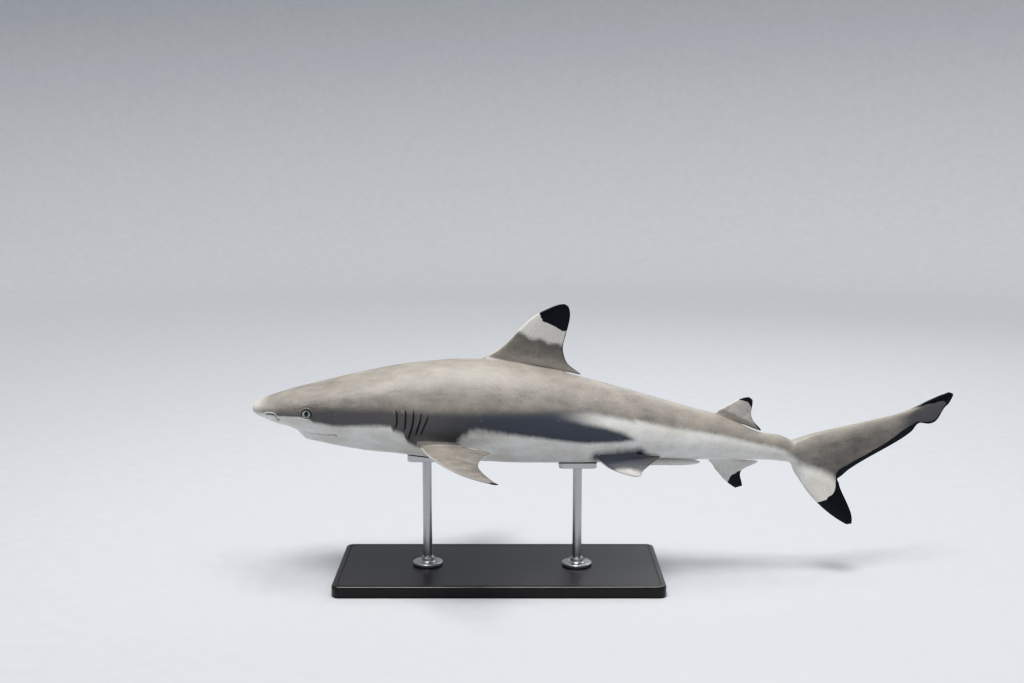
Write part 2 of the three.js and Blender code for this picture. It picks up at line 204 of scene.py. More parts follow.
def narrowed(share):  # spaces points closer together near 0 and 1
    return share + cage["narrowing"] * ((1 - math.cos(share * math.pi)) / 2 - share)


def turnOf(column):
    angles = cage["angles"]
    return angles[column] / 360 if column < len(angles) else 1 - angles[around - column] / 360


def bodyStations():
    stations = [cage["lengths"][0][0]]
    for start, end, faces, eased in cage["lengths"]:
        for step in range(1, faces + 1):
            share = step / faces
            stations.append(start + (end - start) * (narrowed(share) if eased else share))
    return stations


fins = {
    # chords from root to tip as (leading edge, trailing edge, thickness); a middle fin's points are
    # (along, rise) and a paired fin's (along, out, rise)
    "firstDorsal": {
        "rows": (391, 541), "columns": (31, 0, 1), "facing": (0, -1, 0),
        "chords": [
            ((400, 87), (538, 64), 12.5), ((410, 93), (565, 56.8), 11), ((422, 100.5), (547, 71), 10),
            ((437, 112.5), (537, 86), 9), ((454.5, 130), (533.5, 102), 8), ((474, 149.5), (536.5, 118), 6.5),
            ((494.5, 164), (541.5, 136.5), 5), ((512, 172.5), (545, 152), 4), ((526, 177.7), (545.5, 165), 3),
            ((536, 178.6), (543, 174), 2),
        ],
    },
    "secondDorsal": {
        "rows": (783, 847), "columns": (31, 0, 1), "facing": (0, -1, 0),
        "chords": [
            ((794, -9.5), (846, -31), 7), ((803, -4), (876, -42.8), 5.5), ((811, 0), (867.5, -30.5), 5.2),
            ((822, 6), (859.5, -18), 4.5), ((835, 12.5), (859, -6), 3.5), ((846, 16), (861, 5), 2.5),
            ((854, 16.8), (860.5, 12), 1.8),
        ],
    },
    "anal": {
        "rows": (783, 847), "columns": (17, 16, 15), "facing": (0, -1, 0),
        "chords": [
            ((786, -93.5), (847, -93.6), 7), ((792.5, -100), (873, -96.2), 5.5),
            ((797.5, -108.5), (856, -105.5), 5), ((804, -116), (844.5, -112.5), 4.5),
            ((812.5, -126), (842, -121), 3.5), ((823, -135.5), (844.5, -130), 2.5),
            ((833, -142.5), (846, -139), 1.8),
        ],
    },
    "lowerLobe": {
        "rows": (929, 1012), "columns": (18, 17, 16, 15, 14), "facing": (0, -1, 0),
        "chords": [
            ((935, -113), (1014.5, -134.5), 10), ((947, -131.5), (1016.5, -142), 8),
            ((961, -152), (1022.5, -156), 7), ((979, -171.5), (1030, -171.5), 6),
            ((998, -188), (1036, -186), 4.5), ((1016, -200.5), (1038.5, -197.5), 3),
            ((1027, -207), (1038, -206), 2),
        ],
    },
    "pectoral": {
        "rows": (284, 354), "columns": (12, 11, 10), "facing": (0, 0, 1),
        "chords": [
            ((291, 71, -55.7), (361, 73.5, -53), 11.5), ((296, 80, -57.5), (407.5, 85, -60), 10),
            ((304, 100, -60.5), (401, 104, -62), 9), ((316, 124, -63.3), (394.5, 127, -64.5), 8),
            ((329, 146, -66), (391.8, 148, -66.5), 7), ((344, 168, -68.5), (394.5, 169, -68.5), 5.5),
            ((362, 191, -71), (402, 191, -71), 4.2), ((384, 212, -73.5), (411.5, 212, -73.5), 3),
            ((406, 228.7, -75.4), (420, 229.7, -75.4), 2.2),
            ((419, 236.5, -76.4), (425.5, 236.5, -76.4), 1.4),
        ],
    },
    "pelvic": {
        "rows": (587, 660), "columns": (13, 12, 11), "facing": (0, 0.8, 0.6),
        "chords": [
            ((589, 47.5, -76), (663, 44.5, -72), 10), ((595, 50, -82.5), (688, 39.5, -75.8), 7),
            ((602, 52.5, -88.5), (699, 36.8, -77.5), 5.5), ((613, 56, -95), (686, 44, -86.5), 5),
            ((630, 59.5, -101), (674, 52, -94), 4),
            ((646, 62, -105.3), (667, 58.5, -99), 3), ((657, 63.5, -106.8), (665, 62, -104), 2),
        ],
    },
    "edge": 0.45,  # half the thickness that every edge keeps
    "roundedEnd": 0.03,  # how far along its chord the sides of an edge start
}


def finThickness(share):  # a wing section: half its thickness against its fullest, from front to back
    return 2.969 * share**0.5 - 1.26 * share - 3.516 * share**2 + 2.843 * share**3 - 1.036 * share**4


def finChords(fin, side):  # each chord's ends, its thickness and the way from its middle to one side
    def inSpace(point):
        return Vector((point[0], side * point[1], point[-1]))

    chords = [(inSpace(lead), inSpace(trail), thickness) for lead, trail, thickness in fin["chords"]]
    middles = [(lead + trail) / 2 for lead, trail, thickness in chords]
    facing = Vector(fin["facing"])
    facing.y *= side or 1
    levels = []
    for i, (lead, trail, thickness) in enumerate(chords):
        rootToTip = middles[min(i + 1, len(middles) - 1)] - middles[max(i - 1, 0)]
        across = (trail - lead).cross(rootToTip).normalized()
        levels.append((lead, trail, thickness, across if across.dot(facing) > 0 else -across))
    return levels


def rowAt(stations, along):
    return min(range(len(stations)), key=lambda i: abs(stations[i] - along))


def columnsOf(piece, side):  # they are given for the left, and mirrored for the right
    return [around - column for column in piece["columns"]] if side > 0 else piece["columns"]


def patchOf(cageMesh, rows, columns):  # the body's faces between two rows and within some columns
    row, column = cageMesh.verts.layers.int["row"], cageMesh.verts.layers.int["column"]

    def inside(vert):
        return rows[0] <= vert[row] <= rows[1] and vert[column] in columns

    return [face for face in cageMesh.faces if all(inside(vert) for vert in face.verts)]


def only(items, kind):
    return [item for item in items if isinstance(item, kind)]


def drawOut(shape, faces):  # extrudes a patch and returns its new faces and points
    grown = bmesh.ops.extrude_face_region(shape, geom=faces)["geom"]
    bmesh.ops.delete(shape, geom=faces, context="FACES")
    return only(grown, bmesh.types.BMFace), only(grown, bmesh.types.BMVert)


def nextRing(shape, edges):  # extrudes a ring and returns its new points and edges
    grown = bmesh.ops.extrude_edge_only(shape, edges=edges)["geom"]
    ring = set(only(grown, bmesh.types.BMVert))
    return ring, [edge for edge in only(grown, bmesh.types.BMEdge) if ring.issuperset(edge.verts)]


def growFin(cageMesh, stations, fin, side=0):  # side is -1 or 1 for a paired fin
    row, column = cageMesh.verts.layers.int["row"], cageMesh.verts.layers.int["column"]
    chord, span = cageMesh.verts.layers.float["chord"], cageMesh.verts.layers.float["span"]
    columns = columnsOf(fin, side)
    rows = [rowAt(stations, along) for along in fin["rows"]]
    faces = patchOf(cageMesh, rows, columns)
    reach = len(columns) // 2  # how many columns lie on each side of the middle one
    levels = finChords(fin, side)
    for level, (lead, trail, thickness, across) in enumerate(levels, 1):
        faces, verts = drawOut(cageMesh, faces)
        for vert in verts:
            sideways = (columns.index(vert[column]) - reach) / reach
            share = narrowed((vert[row] - rows[0]) / (rows[1] - rows[0]))
            inset = fins["roundedEnd"] * sideways**2
            share = min(1 - inset, max(inset, share))
            vert[chord], vert[span] = share, level / len(levels)
            half = fins["edge"] * min(1, abs(sideways) * 2) + thickness / 2 * finThickness(share)
            vert.co = lead.lerp(trail, share) + across * half * sideways


clasper = {
    "rows": (2, 0), "columns": (15, 14),  # rows counted back from the end of the pelvic fin's root
    # the rod behind the pelvic fin as (along, out, rise, half width, half height, tilt towards the tail)
    "rings": [
        (653, 19.5, -92, 6.2, 5.6, 30), (664, 17.5, -92.6, 5.8, 5.4, 75), (682, 16, -92.3, 6.2, 5.7, 90),
        (702, 15, -92.4, 6.4, 5.8, 90), (722, 14.5, -92.8, 6.2, 5.7, 90), (740, 14, -93.4, 5.6, 5.2, 90),
        (754, 13.6, -93.6, 4.7, 4.4, 90), (764, 13.2, -93.5, 3.2, 3, 90), (769, 13, -93.4, 1.6, 1.5, 90),
    ],
    "corner": (0.5, 0.87),  # where the four corners of each ring lie on its round
}


def growClasper(cageMesh, stations, side):
    row, column = cageMesh.verts.layers.int["row"], cageMesh.verts.layers.int["column"]
    columns = columnsOf(clasper, side)
    last = rowAt(stations, fins["pelvic"]["rows"][1])
    rows = [last - back for back in clasper["rows"]]
    faces = patchOf(cageMesh, rows, columns)
    for along, out, rise, halfWidth, halfHeight, tilt in clasper["rings"]:
        faces, verts = drawOut(cageMesh, faces)
        lean = math.radians(tilt)
        for vert in verts:
            sideways = 1 if vert[column] == columns[1] else -1  # the second column lies further out
            forward = 2 * (rows[1] - vert[row]) / (rows[1] - rows[0]) - 1  # the front turns to the bottom
            wide, tall = clasper["corner"] if forward else (1, 1)
            vert.co = Vector((
                along - forward * tall * halfHeight * math.cos(lean),
                side * (out + sideways * halfWidth * wide),
                rise - forward * tall * halfHeight * math.sin(lean),
            ))


def buildCage():
    cageMesh = bmesh.new()
    row = cageMesh.verts.layers.int.new("row")
    column = cageMesh.verts.layers.int.new("column")
    for name in ("chord", "span"):
        cageMesh.verts.layers.float.new(name)
    stations = bodyStations()
    ring = bmesh.ops.create_circle(cageMesh, segments=around, radius=1)["verts"]
    for i, vert in enumerate(ring):
        vert[column] = i
        vert.co = skinPoint(stations[0], turnOf(i))
    edges = cageMesh.edges[:]
    bmesh.ops.holes_fill(cageMesh, edges=edges, sides=around)
    for i, along in enumerate(stations[1:], 1):
        ring, edges = nextRing(cageMesh, edges)
        for vert in ring:
            vert[row] = i
            vert.co = skinPoint(along, turnOf(vert[column]))
    bmesh.ops.holes_fill(cageMesh, edges=edges, sides=around)
    for name in ("firstDorsal", "secondDorsal", "anal", "lowerLobe"):
        growFin(cageMesh, stations, fins[name])
    for side in (-1, 1):
        growFin(cageMesh, stations, fins["pectoral"], side)
        growFin(cageMesh, stations, fins["pelvic"], side)
        growClasper(cageMesh, stations, side)
    bmesh.ops.recalc_face_normals(cageMesh, faces=cageMesh.faces)
    return cageMesh


def meshObject(name, shape):
    mesh = bpy.data.meshes.new(name)
    shape.to_mesh(mesh)
    shape.free()
    return addObject(name, mesh)


def shadeSmooth(shape):
    for face in shape.faces:
        face.smooth = True


def smoothedMesh(piece):
    return bpy.data.meshes.new_from_object(piece.evaluated_get(bpy.context.evaluated_depsgraph_get()))


def roundOff(piece, levels):  # smooths the cage, once its smooth surface meets the drawn points
    targets = [vert.co.copy() for vert in piece.data.vertices]
    rounding = piece.modifiers.new("rounding", "SUBSURF")
    rounding.levels = rounding.render_levels = 1
    for _ in range(cage["rounds"]):
        smooth = smoothedMesh(piece)
        for i, target in enumerate(targets):
            piece.data.vertices[i].co += (target - smooth.vertices[i].co) * cage["pull"]
        bpy.data.meshes.remove(smooth)
        piece.data.update()
    rounding.levels = rounding.render_levels = levels
    rough = piece.data
    piece.data = smoothedMesh(piece)
    piece.modifiers.remove(rounding)
    bpy.data.meshes.remove(rough)


skin = meshObject("shark_skin", buildCage())
print("cage built:", len(skin.data.vertices), "points")
roundOff(skin, 2)
print("skin rounded off:", len(skin.data.polygons), "faces")

head = {
    "end": 320,  # nothing is added behind this
    "pathSteps": 4,
    # reach is how far a part has an effect, and detail how near it the faces are halved and halved again;
    # the other tuples are for wave: height or darkness, place, width, and the share that fades at each end
    "eye": {
        "centre": (101, 51.8, -2), "radius": 9.8, "stretch": 1.06, "flatness": 0.92,
        "rim": 9.5, "reach": 10.5, "detail": ((3, 15), (6.5, 11.6)),
        # the rest is measured outwards from the rim
        # socketDark is the lid's dark edge with painted shade in the socket round the ball
        "socketDepth": 9, "socketWall": (-2.6, -0.6), "socketDark": (-1.7, -0.5),
        "lid": (0.8, 0.3, 1.3, 0), "hollow": (-0.35, 3, 1.4, 0), "brow": (0.7, 4.5, 2.6, 0),
        "browAhead": (6, -10), "browAbove": (2, 9),
    },
    "mouth": {
        "front": 65, "corner": 151, "halfWidth": 57.5, "steps": 24, "reach": 12, "detail": (6, 2.4),
        # dark is painted shade in the mouth's groove
        "groove": (-2.8, 0, 1.1, 0.05), "lip": (0.8, 3.2, 1.6, 0.05), "dark": (1, 0, 0.99, 0.05),
        "jawLip": 0.6, "jawEdge": 15, "jawRise": (-24, -40), "jawTop": -20,
    },
    "cornerFold": {
        "lines": (((141, -37), (148, -38.5), (155, -41.5)),), "reach": 6, "detail": (5, 2.6),
        # dark is painted shade in the fold
        "groove": (-2.2, 0, 1.3, 0.3), "dark": (0.9, 0, 1.3, 0.3),
    },
    "nostril": {
        "lines": (((24, -9), (33, -5), (42, -5), (47.5, -9), (50, -16)),), "reach": 8, "detail": (7, 4.5),
        # dark and pitDark are painted shade in the groove and the pit; light is painted light on the edge of
        # the flap
        "groove": (-2.8, 0, 1.8, 0.3), "dark": (1, 0, 1.5, 0.2), "tilt": 0.5,
        "flap": (1.3, 3, 1.6, 0.2), "light": (0.9, 3.2, 1.2, 0.25),
        "pitAt": (50.5, -16), "pit": (-3.2, 0, 3.2, 0), "pitDark": (1, 0, 2.88, 0),
    },
    "gills": {
        "lines": (
            ((250.5, 10), (254.5, 0), (254.5, -13), (250.5, -25)),
            ((266, 11), (269.5, 2), (268.5, -15), (266.5, -30)),
            ((281.5, 11), (282.5, 0), (280.5, -17), (275.5, -34), (273, -45)),
            ((294.5, 6), (294.5, -5), (290.5, -20), (284, -38)),
            ((307.5, 3.5), (305, -8.5), (299, -22), (293.5, -36)),
        ),
        "reach": 9, "detail": (5, 2.2),
        # dark is painted shade in each slit
        "groove": (-2.4, 0.3, 0.8, 0.2), "flap": (1.2, -3.4, 3.2, 0.2), "dark": (0.76, 0.2, 0.8, 0.2),
    },
}


def pathOnFlank(points, side):  # a smooth line on the skin through points given as (along, rise)
    alongAt, riseAt = [curveThrough([(i, point[axis]) for i, point in enumerate(points)]) for axis in (0, 1)]
    steps = [i / head["pathSteps"] for i in range(head["pathSteps"] * (len(points) - 1) + 1)]
    return [flankPoint(alongAt(step), riseAt(step), side) for step in steps]


def mouthArch(out):  # how far behind the snout the mouth lies at a distance from the middle
    mouth = head["mouth"]
    return mouth["front"] + (mouth["corner"] - mouth["front"]) * (out / mouth["halfWidth"]) ** 2


def mouthPath():
    mouth = head["mouth"]
    outs = [mouth["halfWidth"] * i / mouth["steps"] for i in range(-mouth["steps"], mouth["steps"] + 1)]
    return [undersidePoint(mouthArch(out), out) for out in outs]


def nearestOn(path, point):  # distance to a path, how far along it that is from 0 to 1, and the nearest spot
    best = (1e9, 0, path[0])
    for i, (start, end) in enumerate(zip(path, path[1:])):
        spot, share = intersect_point_line(point, start, end)
        share = min(1, max(0, share))
        spot = start.lerp(end, share)
        distance = (point - spot).length
        if distance < best[0]:
            best = (distance, (i + share) / (len(path) - 1), spot)
    return best


class Feature:  # a line on the head, with a quick test of whether a point is near it
    def __init__(self, kind, path):
        self.kind = kind
        self.path = path
        self.centre = sum(path, Vector()) / len(path)
        self.radius = max((point - self.centre).length for point in path)

    def near(self, point, margin):  # what nearestOn says, or None where the line is further away
        if (point - self.centre).length > self.radius + margin:
            return None
        found = nearestOn(self.path, point)
        return found if found[0] < margin else None


features = [Feature("mouth", mouthPath())]
for side in (-1, 1):
    for kind in ("cornerFold", "nostril", "gills"):
        features += [Feature(kind, pathOnFlank(line, side)) for line in head[kind]["lines"]]


def eyeRadius(point):  # distance from the nearer eye's centre, seen from its side
    along, out, rise = head["eye"]["centre"]
    if abs(point.y) < out / 2:
        return math.inf
    return math.hypot((point.x - along) / head["eye"]["stretch"], point.z - rise)


def needsDetail(point, close):
    if point.x > head["end"]:
        return False
    low, high = head["eye"]["detail"][close]
    if low < eyeRadius(point) < high:
        return True
    return any(feature.near(point, head[feature.kind]["detail"][close]) for feature in features)


def addDetail(shape, close):  # halves the faces near the features of the head
    needed = {vert for vert in shape.verts if needsDetail(vert.co, close)}
    edges = {edge for face in shape.faces if needed.issuperset(face.verts) for edge in face.edges}
    bmesh.ops.subdivide_edges(shape, edges=list(edges), cuts=1, use_grid_fill=True)


def wave(distance, setting, share=0):  # a ridge, a groove or a darkness, by the distance from its line
    height, place, width, fade = setting
    ends = smoothStep(0, fade, share) * smoothStep(0, fade, 1 - share) if fade else 1
    return height * math.exp(-(((distance - place) / width) ** 2)) * ends


# Each shaper says how far a point is raised (+) or pressed in (-), and how dark (+) or light (-) it is:
# painted shade in grooves and pits, painted light on the nostril's flap.
def shapeEye(point):
    eye = head["eye"]
    outside = eyeRadius(point) - eye["rim"]
    if outside > eye["reach"]:
        return 0, 0
    along, out, rise = eye["centre"]
    ahead = smoothStep(*eye["browAhead"], point.x - along) * smoothStep(*eye["browAbove"], point.z - rise)
    lift = -eye["socketDepth"] * (1 - smoothStep(*eye["socketWall"], outside))
    lift += wave(outside, eye["lid"]) + wave(outside, eye["hollow"]) + wave(outside, eye["brow"]) * ahead
    return lift, 1 - smoothStep(*eye["socketDark"], outside)


def shapeMouth(point, distance, share, spot):
    mouth = head["mouth"]
    lip = mouth["jawLip"] if point.x > mouthArch(point.y) else 1
    lift = wave(distance, mouth["groove"], share) + wave(distance, mouth["lip"], share) * lip
    return lift, wave(distance, mouth["dark"], share)


def jawDrop(point):  # the lower jaw stands below the throat line inside the arch of the mouth
    mouth = head["mouth"]
    if not mouth["front"] < point.x < body["throat"][-1][0] or point.z > mouth["jawTop"]:
        return 0
    slope = 2 * (mouth["corner"] - mouth["front"]) * point.y / mouth["halfWidth"] ** 2
    inside = (point.x - mouthArch(point.y)) / math.hypot(1, slope)
    drop = bodyLine["throat"](point.x) - bodyLine["belly"](point.x)
    return drop * smoothStep(0, mouth["jawEdge"], inside) * smoothStep(*mouth["jawRise"], point.z)


def shapeNostril(point, distance, share, spot):
    nostril = head["nostril"]
    outer = point.z - spot.z + nostril["tilt"] * (point.x - spot.x) > 0
    toPit = math.hypot(point.x - nostril["pitAt"][0], point.z - nostril["pitAt"][1])
    lift = wave(distance, nostril["groove"], share) + wave(toPit, nostril["pit"])
    lift += wave(distance, nostril["flap"], share) * outer
    dark = max(wave(distance, nostril["dark"], share), wave(toPit, nostril["pitDark"]))
    # painted light along the edge of the flap
    light = wave(distance, nostril["light"], share) * outer
    return lift, dark if dark > light else -light


def shapeGill(point, distance, share, spot):
    gills = head["gills"]
    behind = distance if point.x > spot.x else -distance
    lift = wave(behind, gills["groove"], share) + wave(behind, gills["flap"], share) * (behind < 0)
    return lift, wave(behind, gills["dark"], share)


def shapeFold(point, distance, share, spot):
    fold = head["cornerFold"]
    return wave(distance, fold["groove"], share), wave(distance, fold["dark"], share)


shapers = {"mouth": shapeMouth, "cornerFold": shapeFold, "nostril": shapeNostril, "gills": shapeGill}


# the darkness is painted shade in grooves and pits, and painted light (below 0) on the nostril's flap
def headDetail(point):  # everything that the head adds at a point, as one lift and one darkness
    if point.x > head["end"]:
        return 0, 0
    lift, dark = shapeEye(point)
    lift += jawDrop(point)
    for feature in features:
        found = feature.near(point, head[feature.kind]["reach"])
        if found:
            raised, hollow = shapers[feature.kind](point, *found)
            lift += raised
            dark = hollow if abs(hollow) > abs(dark) else dark
    return lift, dark


slack = {"waves": ((0.02, 0.35), (0.06, 0.12)), "proud": 1.02}  # waves as (how many a millimetre, height)


def slackness(point):  # the slight unevenness of a real flank
    broad, fine = [noise.noise(point * rate) * height for rate, height in slack["waves"]]
    return broad + fine if standsProud(point) < slack["proud"] else 0


marks = {
    # heights on the flank along the body
    "lowerEdge": [
        (0, -6.7), (28, -3.6), (39, -2.3), (48, -7), (53, -6.7), (88, -6.7), (102, -9.7), (116, -16.3),
        (133, -18.3), (150, -21.3), (184, -20.3), (226, -19.2), (244, -19.7), (248, -27), (263, -30.6),
        (272, -46.7), (287, -55.6), (300, -60), (330, -62), (347, -54), (364, -38), (385, -27), (441, -32.2),
        (497, -39.3), (539, -45.3), (581, -49.1), (623, -48.8), (651, -45.8),
    ],
    # in front of about 500 this is the line where light from above stops and the flank's painted shade
    # begins; further back it is the lower edge of the back's grey
    "backEdge": [
        (0, -3), (90, 0), (105, 8), (245, 10), (300, 7), (360, 5), (470, 7), (510, 7.6), (566, 6),
        (603, -0.6), (637, -8.3), (697, -22.7), (731, -30), (766, -36.6), (801, -44), (836, -52.5),
        (872, -62.8), (908, -71.3), (930, -85), (945, -97), (962, -105), (985, -114), (1006, -127),
        (1016, -140), (1030, -190),
    ],
    "tongueTop": [
        (496, -1.6), (524, -7.6), (552, -13.7), (580, -20.2), (608, -26.6), (631, -34.4), (651, -45.2),
        (658, -50), (680, -72), (705, -110), (730, -200),
    ],
    "softness": [  # how many millimetres wide the lower edge fades, for each one of its noise
        (0, 0.7), (90, 0.8), (110, 1.6), (240, 2.4), (270, 2.4), (300, 2), (335, 5), (385, 5), (450, 2.6),
        (600, 1.9), (651, 2), (700, 3.4), (900, 3), (945, 3.4), (985, 4.5), (1030, 4.5),
    ],
    # heights of the edges of marks on the fins
    "dorsalTip": [
        (480, 176), (494, 164), (496, 156), (497.8, 149.8), (508, 146.2), (514.7, 143.1), (521.4, 138.9),
        (529.9, 134.6), (535, 132.3), (541, 133.3), (547, 131),
    ],
    "dorsalBand": [
        (455, 133), (469, 127), (474, 122), (480, 119.6), (498, 118.5), (507, 111.8), (521, 111),
        (531, 108.5), (540, 105),
    ],
    "secondTip": [
        (830, 17), (838, 12.4), (844, 11.4), (848.5, 9.2), (852, 8.6), (855.6, 4.6), (857, 1.5), (861, -2),
    ],
    "analTip": [
        (810, -146), (821.3, -130.3), (825.8, -120.8), (832.7, -117.4), (839.6, -112.8), (848, -114),
    ],
    "pelvicTip": [
        (612, -101), (622, -97), (627.6, -94.2), (637.4, -93.8), (651.5, -96.7), (661.4, -99), (672, -101),
    ],
    "tailMargin": [
        (1005, -118), (1014, -114), (1022, -109.5), (1062, -89), (1102, -68), (1128, -51), (1153, -37),
        (1160, -34),
    ],
    "tailTop": [(1140, -1), (1165, 4), (1185, 8), (1204, 11), (1216, 22), (1224, 30)],  # depth below the back
    # distances behind the snout of edges of marks, by height
    "dorsalRear": [
        (50, 566), (56.8, 565), (71, 547), (86, 537), (102, 533.5), (118, 536.5), (136.5, 541.5), (152, 545),
    ],
    "secondRear": [(-44, 876), (-30.5, 867.5), (-18, 859.5), (-6, 859), (5, 861), (12, 860.5)],
    "lobeTip": [
        (-208, 940), (-175, 960), (-167, 982), (-165, 990.6), (-157.6, 995.8), (-154.1, 1004),
        (-146.7, 1007.5), (-135.4, 1009), (-127, 1009.5), (-118, 1011), (-114, 1014), (-112, 1017.5),
    ],
    "tongueEnd": 657, "tongueSoft": 4,
    "outside": -20,  # the distance inside a mark where that mark has no say
    # the stretch of the body in which a mark or fin is looked for, and how far off the body it begins
    "zones": {
        "streak": (480, 900), "pectoral": (280, 430), "pelvic": (575, 702), "anal": (780, 880),
        "firstDorsal": (391, 570), "dorsalTip": (470, 570), "secondDorsal": (783, 880),
        "secondTip": (815, 880), "lowerLobe": (920, 1045), "tail": (1005, 1240), "tailTip": (1140, 1240),
    },
    "root": {"fin": 1, "tip": 2, "secondTip": 1.5, "anal": 1.5, "lowerLobe": -112},
    "rearEdge": {"firstDorsal": 1.4, "secondDorsal": 1, "below": 132},  # width of the dark rear edges
    "marginEnd": 1162,
    "tailBelow": (4, 1160, 1180),  # width of the black under the tail's tip, and where it starts
    "pectoralTip": {"from": 90, "above": 233, "below": 192, "at": 400, "slope": 0.25, "facing": -0.3},
}
markLine = {name: curveThrough(points) for name, points in marks.items() if isinstance(points, list)}


def within(zone, along):
    start, end = marks["zones"][zone]
    return start < along <= end


def blackness(point, normal):  # millimetres inside the nearest black mark
    along, rise, away = point.x, point.z, abs(point.y)
    overBack = rise - bodyLine["back"](along)
    underBelly = bodyLine["belly"](along) - rise
    root, rearEdge, tip = marks["root"], marks["rearEdge"], marks["pectoralTip"]
    inside = marks["outside"]
    if within("dorsalTip", along) and overBack > root["tip"]:
        if rise < rearEdge["below"]:
            inside = along - markLine["dorsalRear"](rise) + rearEdge["firstDorsal"]
        inside = max(inside, rise - markLine["dorsalTip"](along))
    elif within("secondTip", along) and overBack > root["secondTip"]:
        inside = along - markLine["secondRear"](rise) + rearEdge["secondDorsal"]
        inside = max(inside, rise - markLine["secondTip"](along))
    elif within("anal", along) and underBelly > root["anal"]:
        inside = markLine["analTip"](along) - rise
    elif within("lowerLobe", along) and rise < root["lowerLobe"]:
        inside = along - markLine["lobeTip"](rise)
    elif within("tail", along):
        if along <= marks["marginEnd"]:
            inside = markLine["tailMargin"](along) - rise
        if within("tailTip", along):
            width, start, end = marks["tailBelow"]
            below = underBelly + width * smoothStep(start, end, along)
            inside = max(inside, overBack + markLine["tailTop"](along), below)
    elif within("pectoral", along) and away > tip["from"]:
        upper = normal.z > tip["facing"]
        inside = away - (tip["above"] if upper else tip["below"] + tip["slope"] * (along - tip["at"]))
    return inside


# tone is how light (+) or dark (-) the back is, with random patches, painted light along the top of the back
# and painted shade on the first dorsal fin and the tail; shade is above 0 where it turns to the flank's grey,
# the painted shade below where light from above stops
tones = {
    # painted light: the top of the back is lighter, down to this depth and by this amount
    "noise": ((0.011, 0.35), (0.03, 0.35)), "litRidge": (26, 0.3),
    "pectoral": {
        "out": 0.5, "below": -35, "span": 0.03, "facing": -0.45, "contrast": 8, "shade": -12,
        "tone": 0.1, "rearTone": 0.6, "rear": (0.4, 1),
    },
    "anal": {"dark": -0.4, "tipDark": -1.6, "tip": (0.25, 0.8)},
    "pelvic": {
        "below": -50, "out": 22, "finOut": 27, "proud": 1.04, "facing": (0.8, 0.6), "contrast": 10,
        # shade gives the fin the flank's painted shade; the pale patch near its tip, on the side turned up,
        # is partly the fin's own pale tip and partly painted light from above
        "dark": 2, "inner": -5, "shade": 10, "paleFrom": 622, "paleFacing": -0.1,
        "root": ((592, -77), (664, -70)), "shadow": 9, "shadowSoft": 4,
    },
    # painted shade: the first dorsal fin's side is darker higher up and towards its rear
    "firstDorsal": {"tone": 1.5, "upTo": 30, "from": (400, 500), "band": 3},
    "secondDorsal": {"paleFrom": 14},
    # painted shade on the tail: darker further below its upper edge, and the flank's shaded grey on the lower
    # part of the upper lobe and on its tip
    "tail": {
        "from": 945, "tone": (0.8, (8, 45), (945, 1010)),
        "lower": (26, (10, 46), (990, 1060)), "upper": (22, (-2, 12), (1105, 1165)), "shade": -10,
    },
}


def pelvicMarks(point, normal, found):  # the fin, and the shadow that its dark side leaves on the flank
    pelvic = tones["pelvic"]
    start, end = [Vector((along, 0, rise)) for along, rise in pelvic["root"]]
    flat = Vector((point.x, 0, point.z))
    spot, share = intersect_point_line(flat, start, end)
    toRoot = (flat - start.lerp(end, min(1, max(0, share)))).length
    dark = max(found["dark"], (pelvic["shadow"] - toRoot) / pelvic["shadowSoft"])
    if standsProud(point) <= pelvic["proud"]:
        return {"dark": dark}
    across, up = pelvic["facing"]
    facing = normal.dot(Vector((0, math.copysign(across, point.y), up)))
    onFin = abs(point.y) > pelvic["finOut"]
    # pale near the tip on the side turned up is partly the fin's own colour and partly painted light; the fin
    # also takes the flank's painted shade
    pale = min(markLine["pelvicTip"](point.x) - point.z, point.x - pelvic["paleFrom"])
    return {
        "dark": max(dark, facing * pelvic["contrast"] + pelvic["dark"]) if onFin else pelvic["inner"],
        "pale": pale if facing > pelvic["paleFacing"] else marks["outside"],
        "shade": pelvic["shade"],
        "streak": marks["outside"],
    }


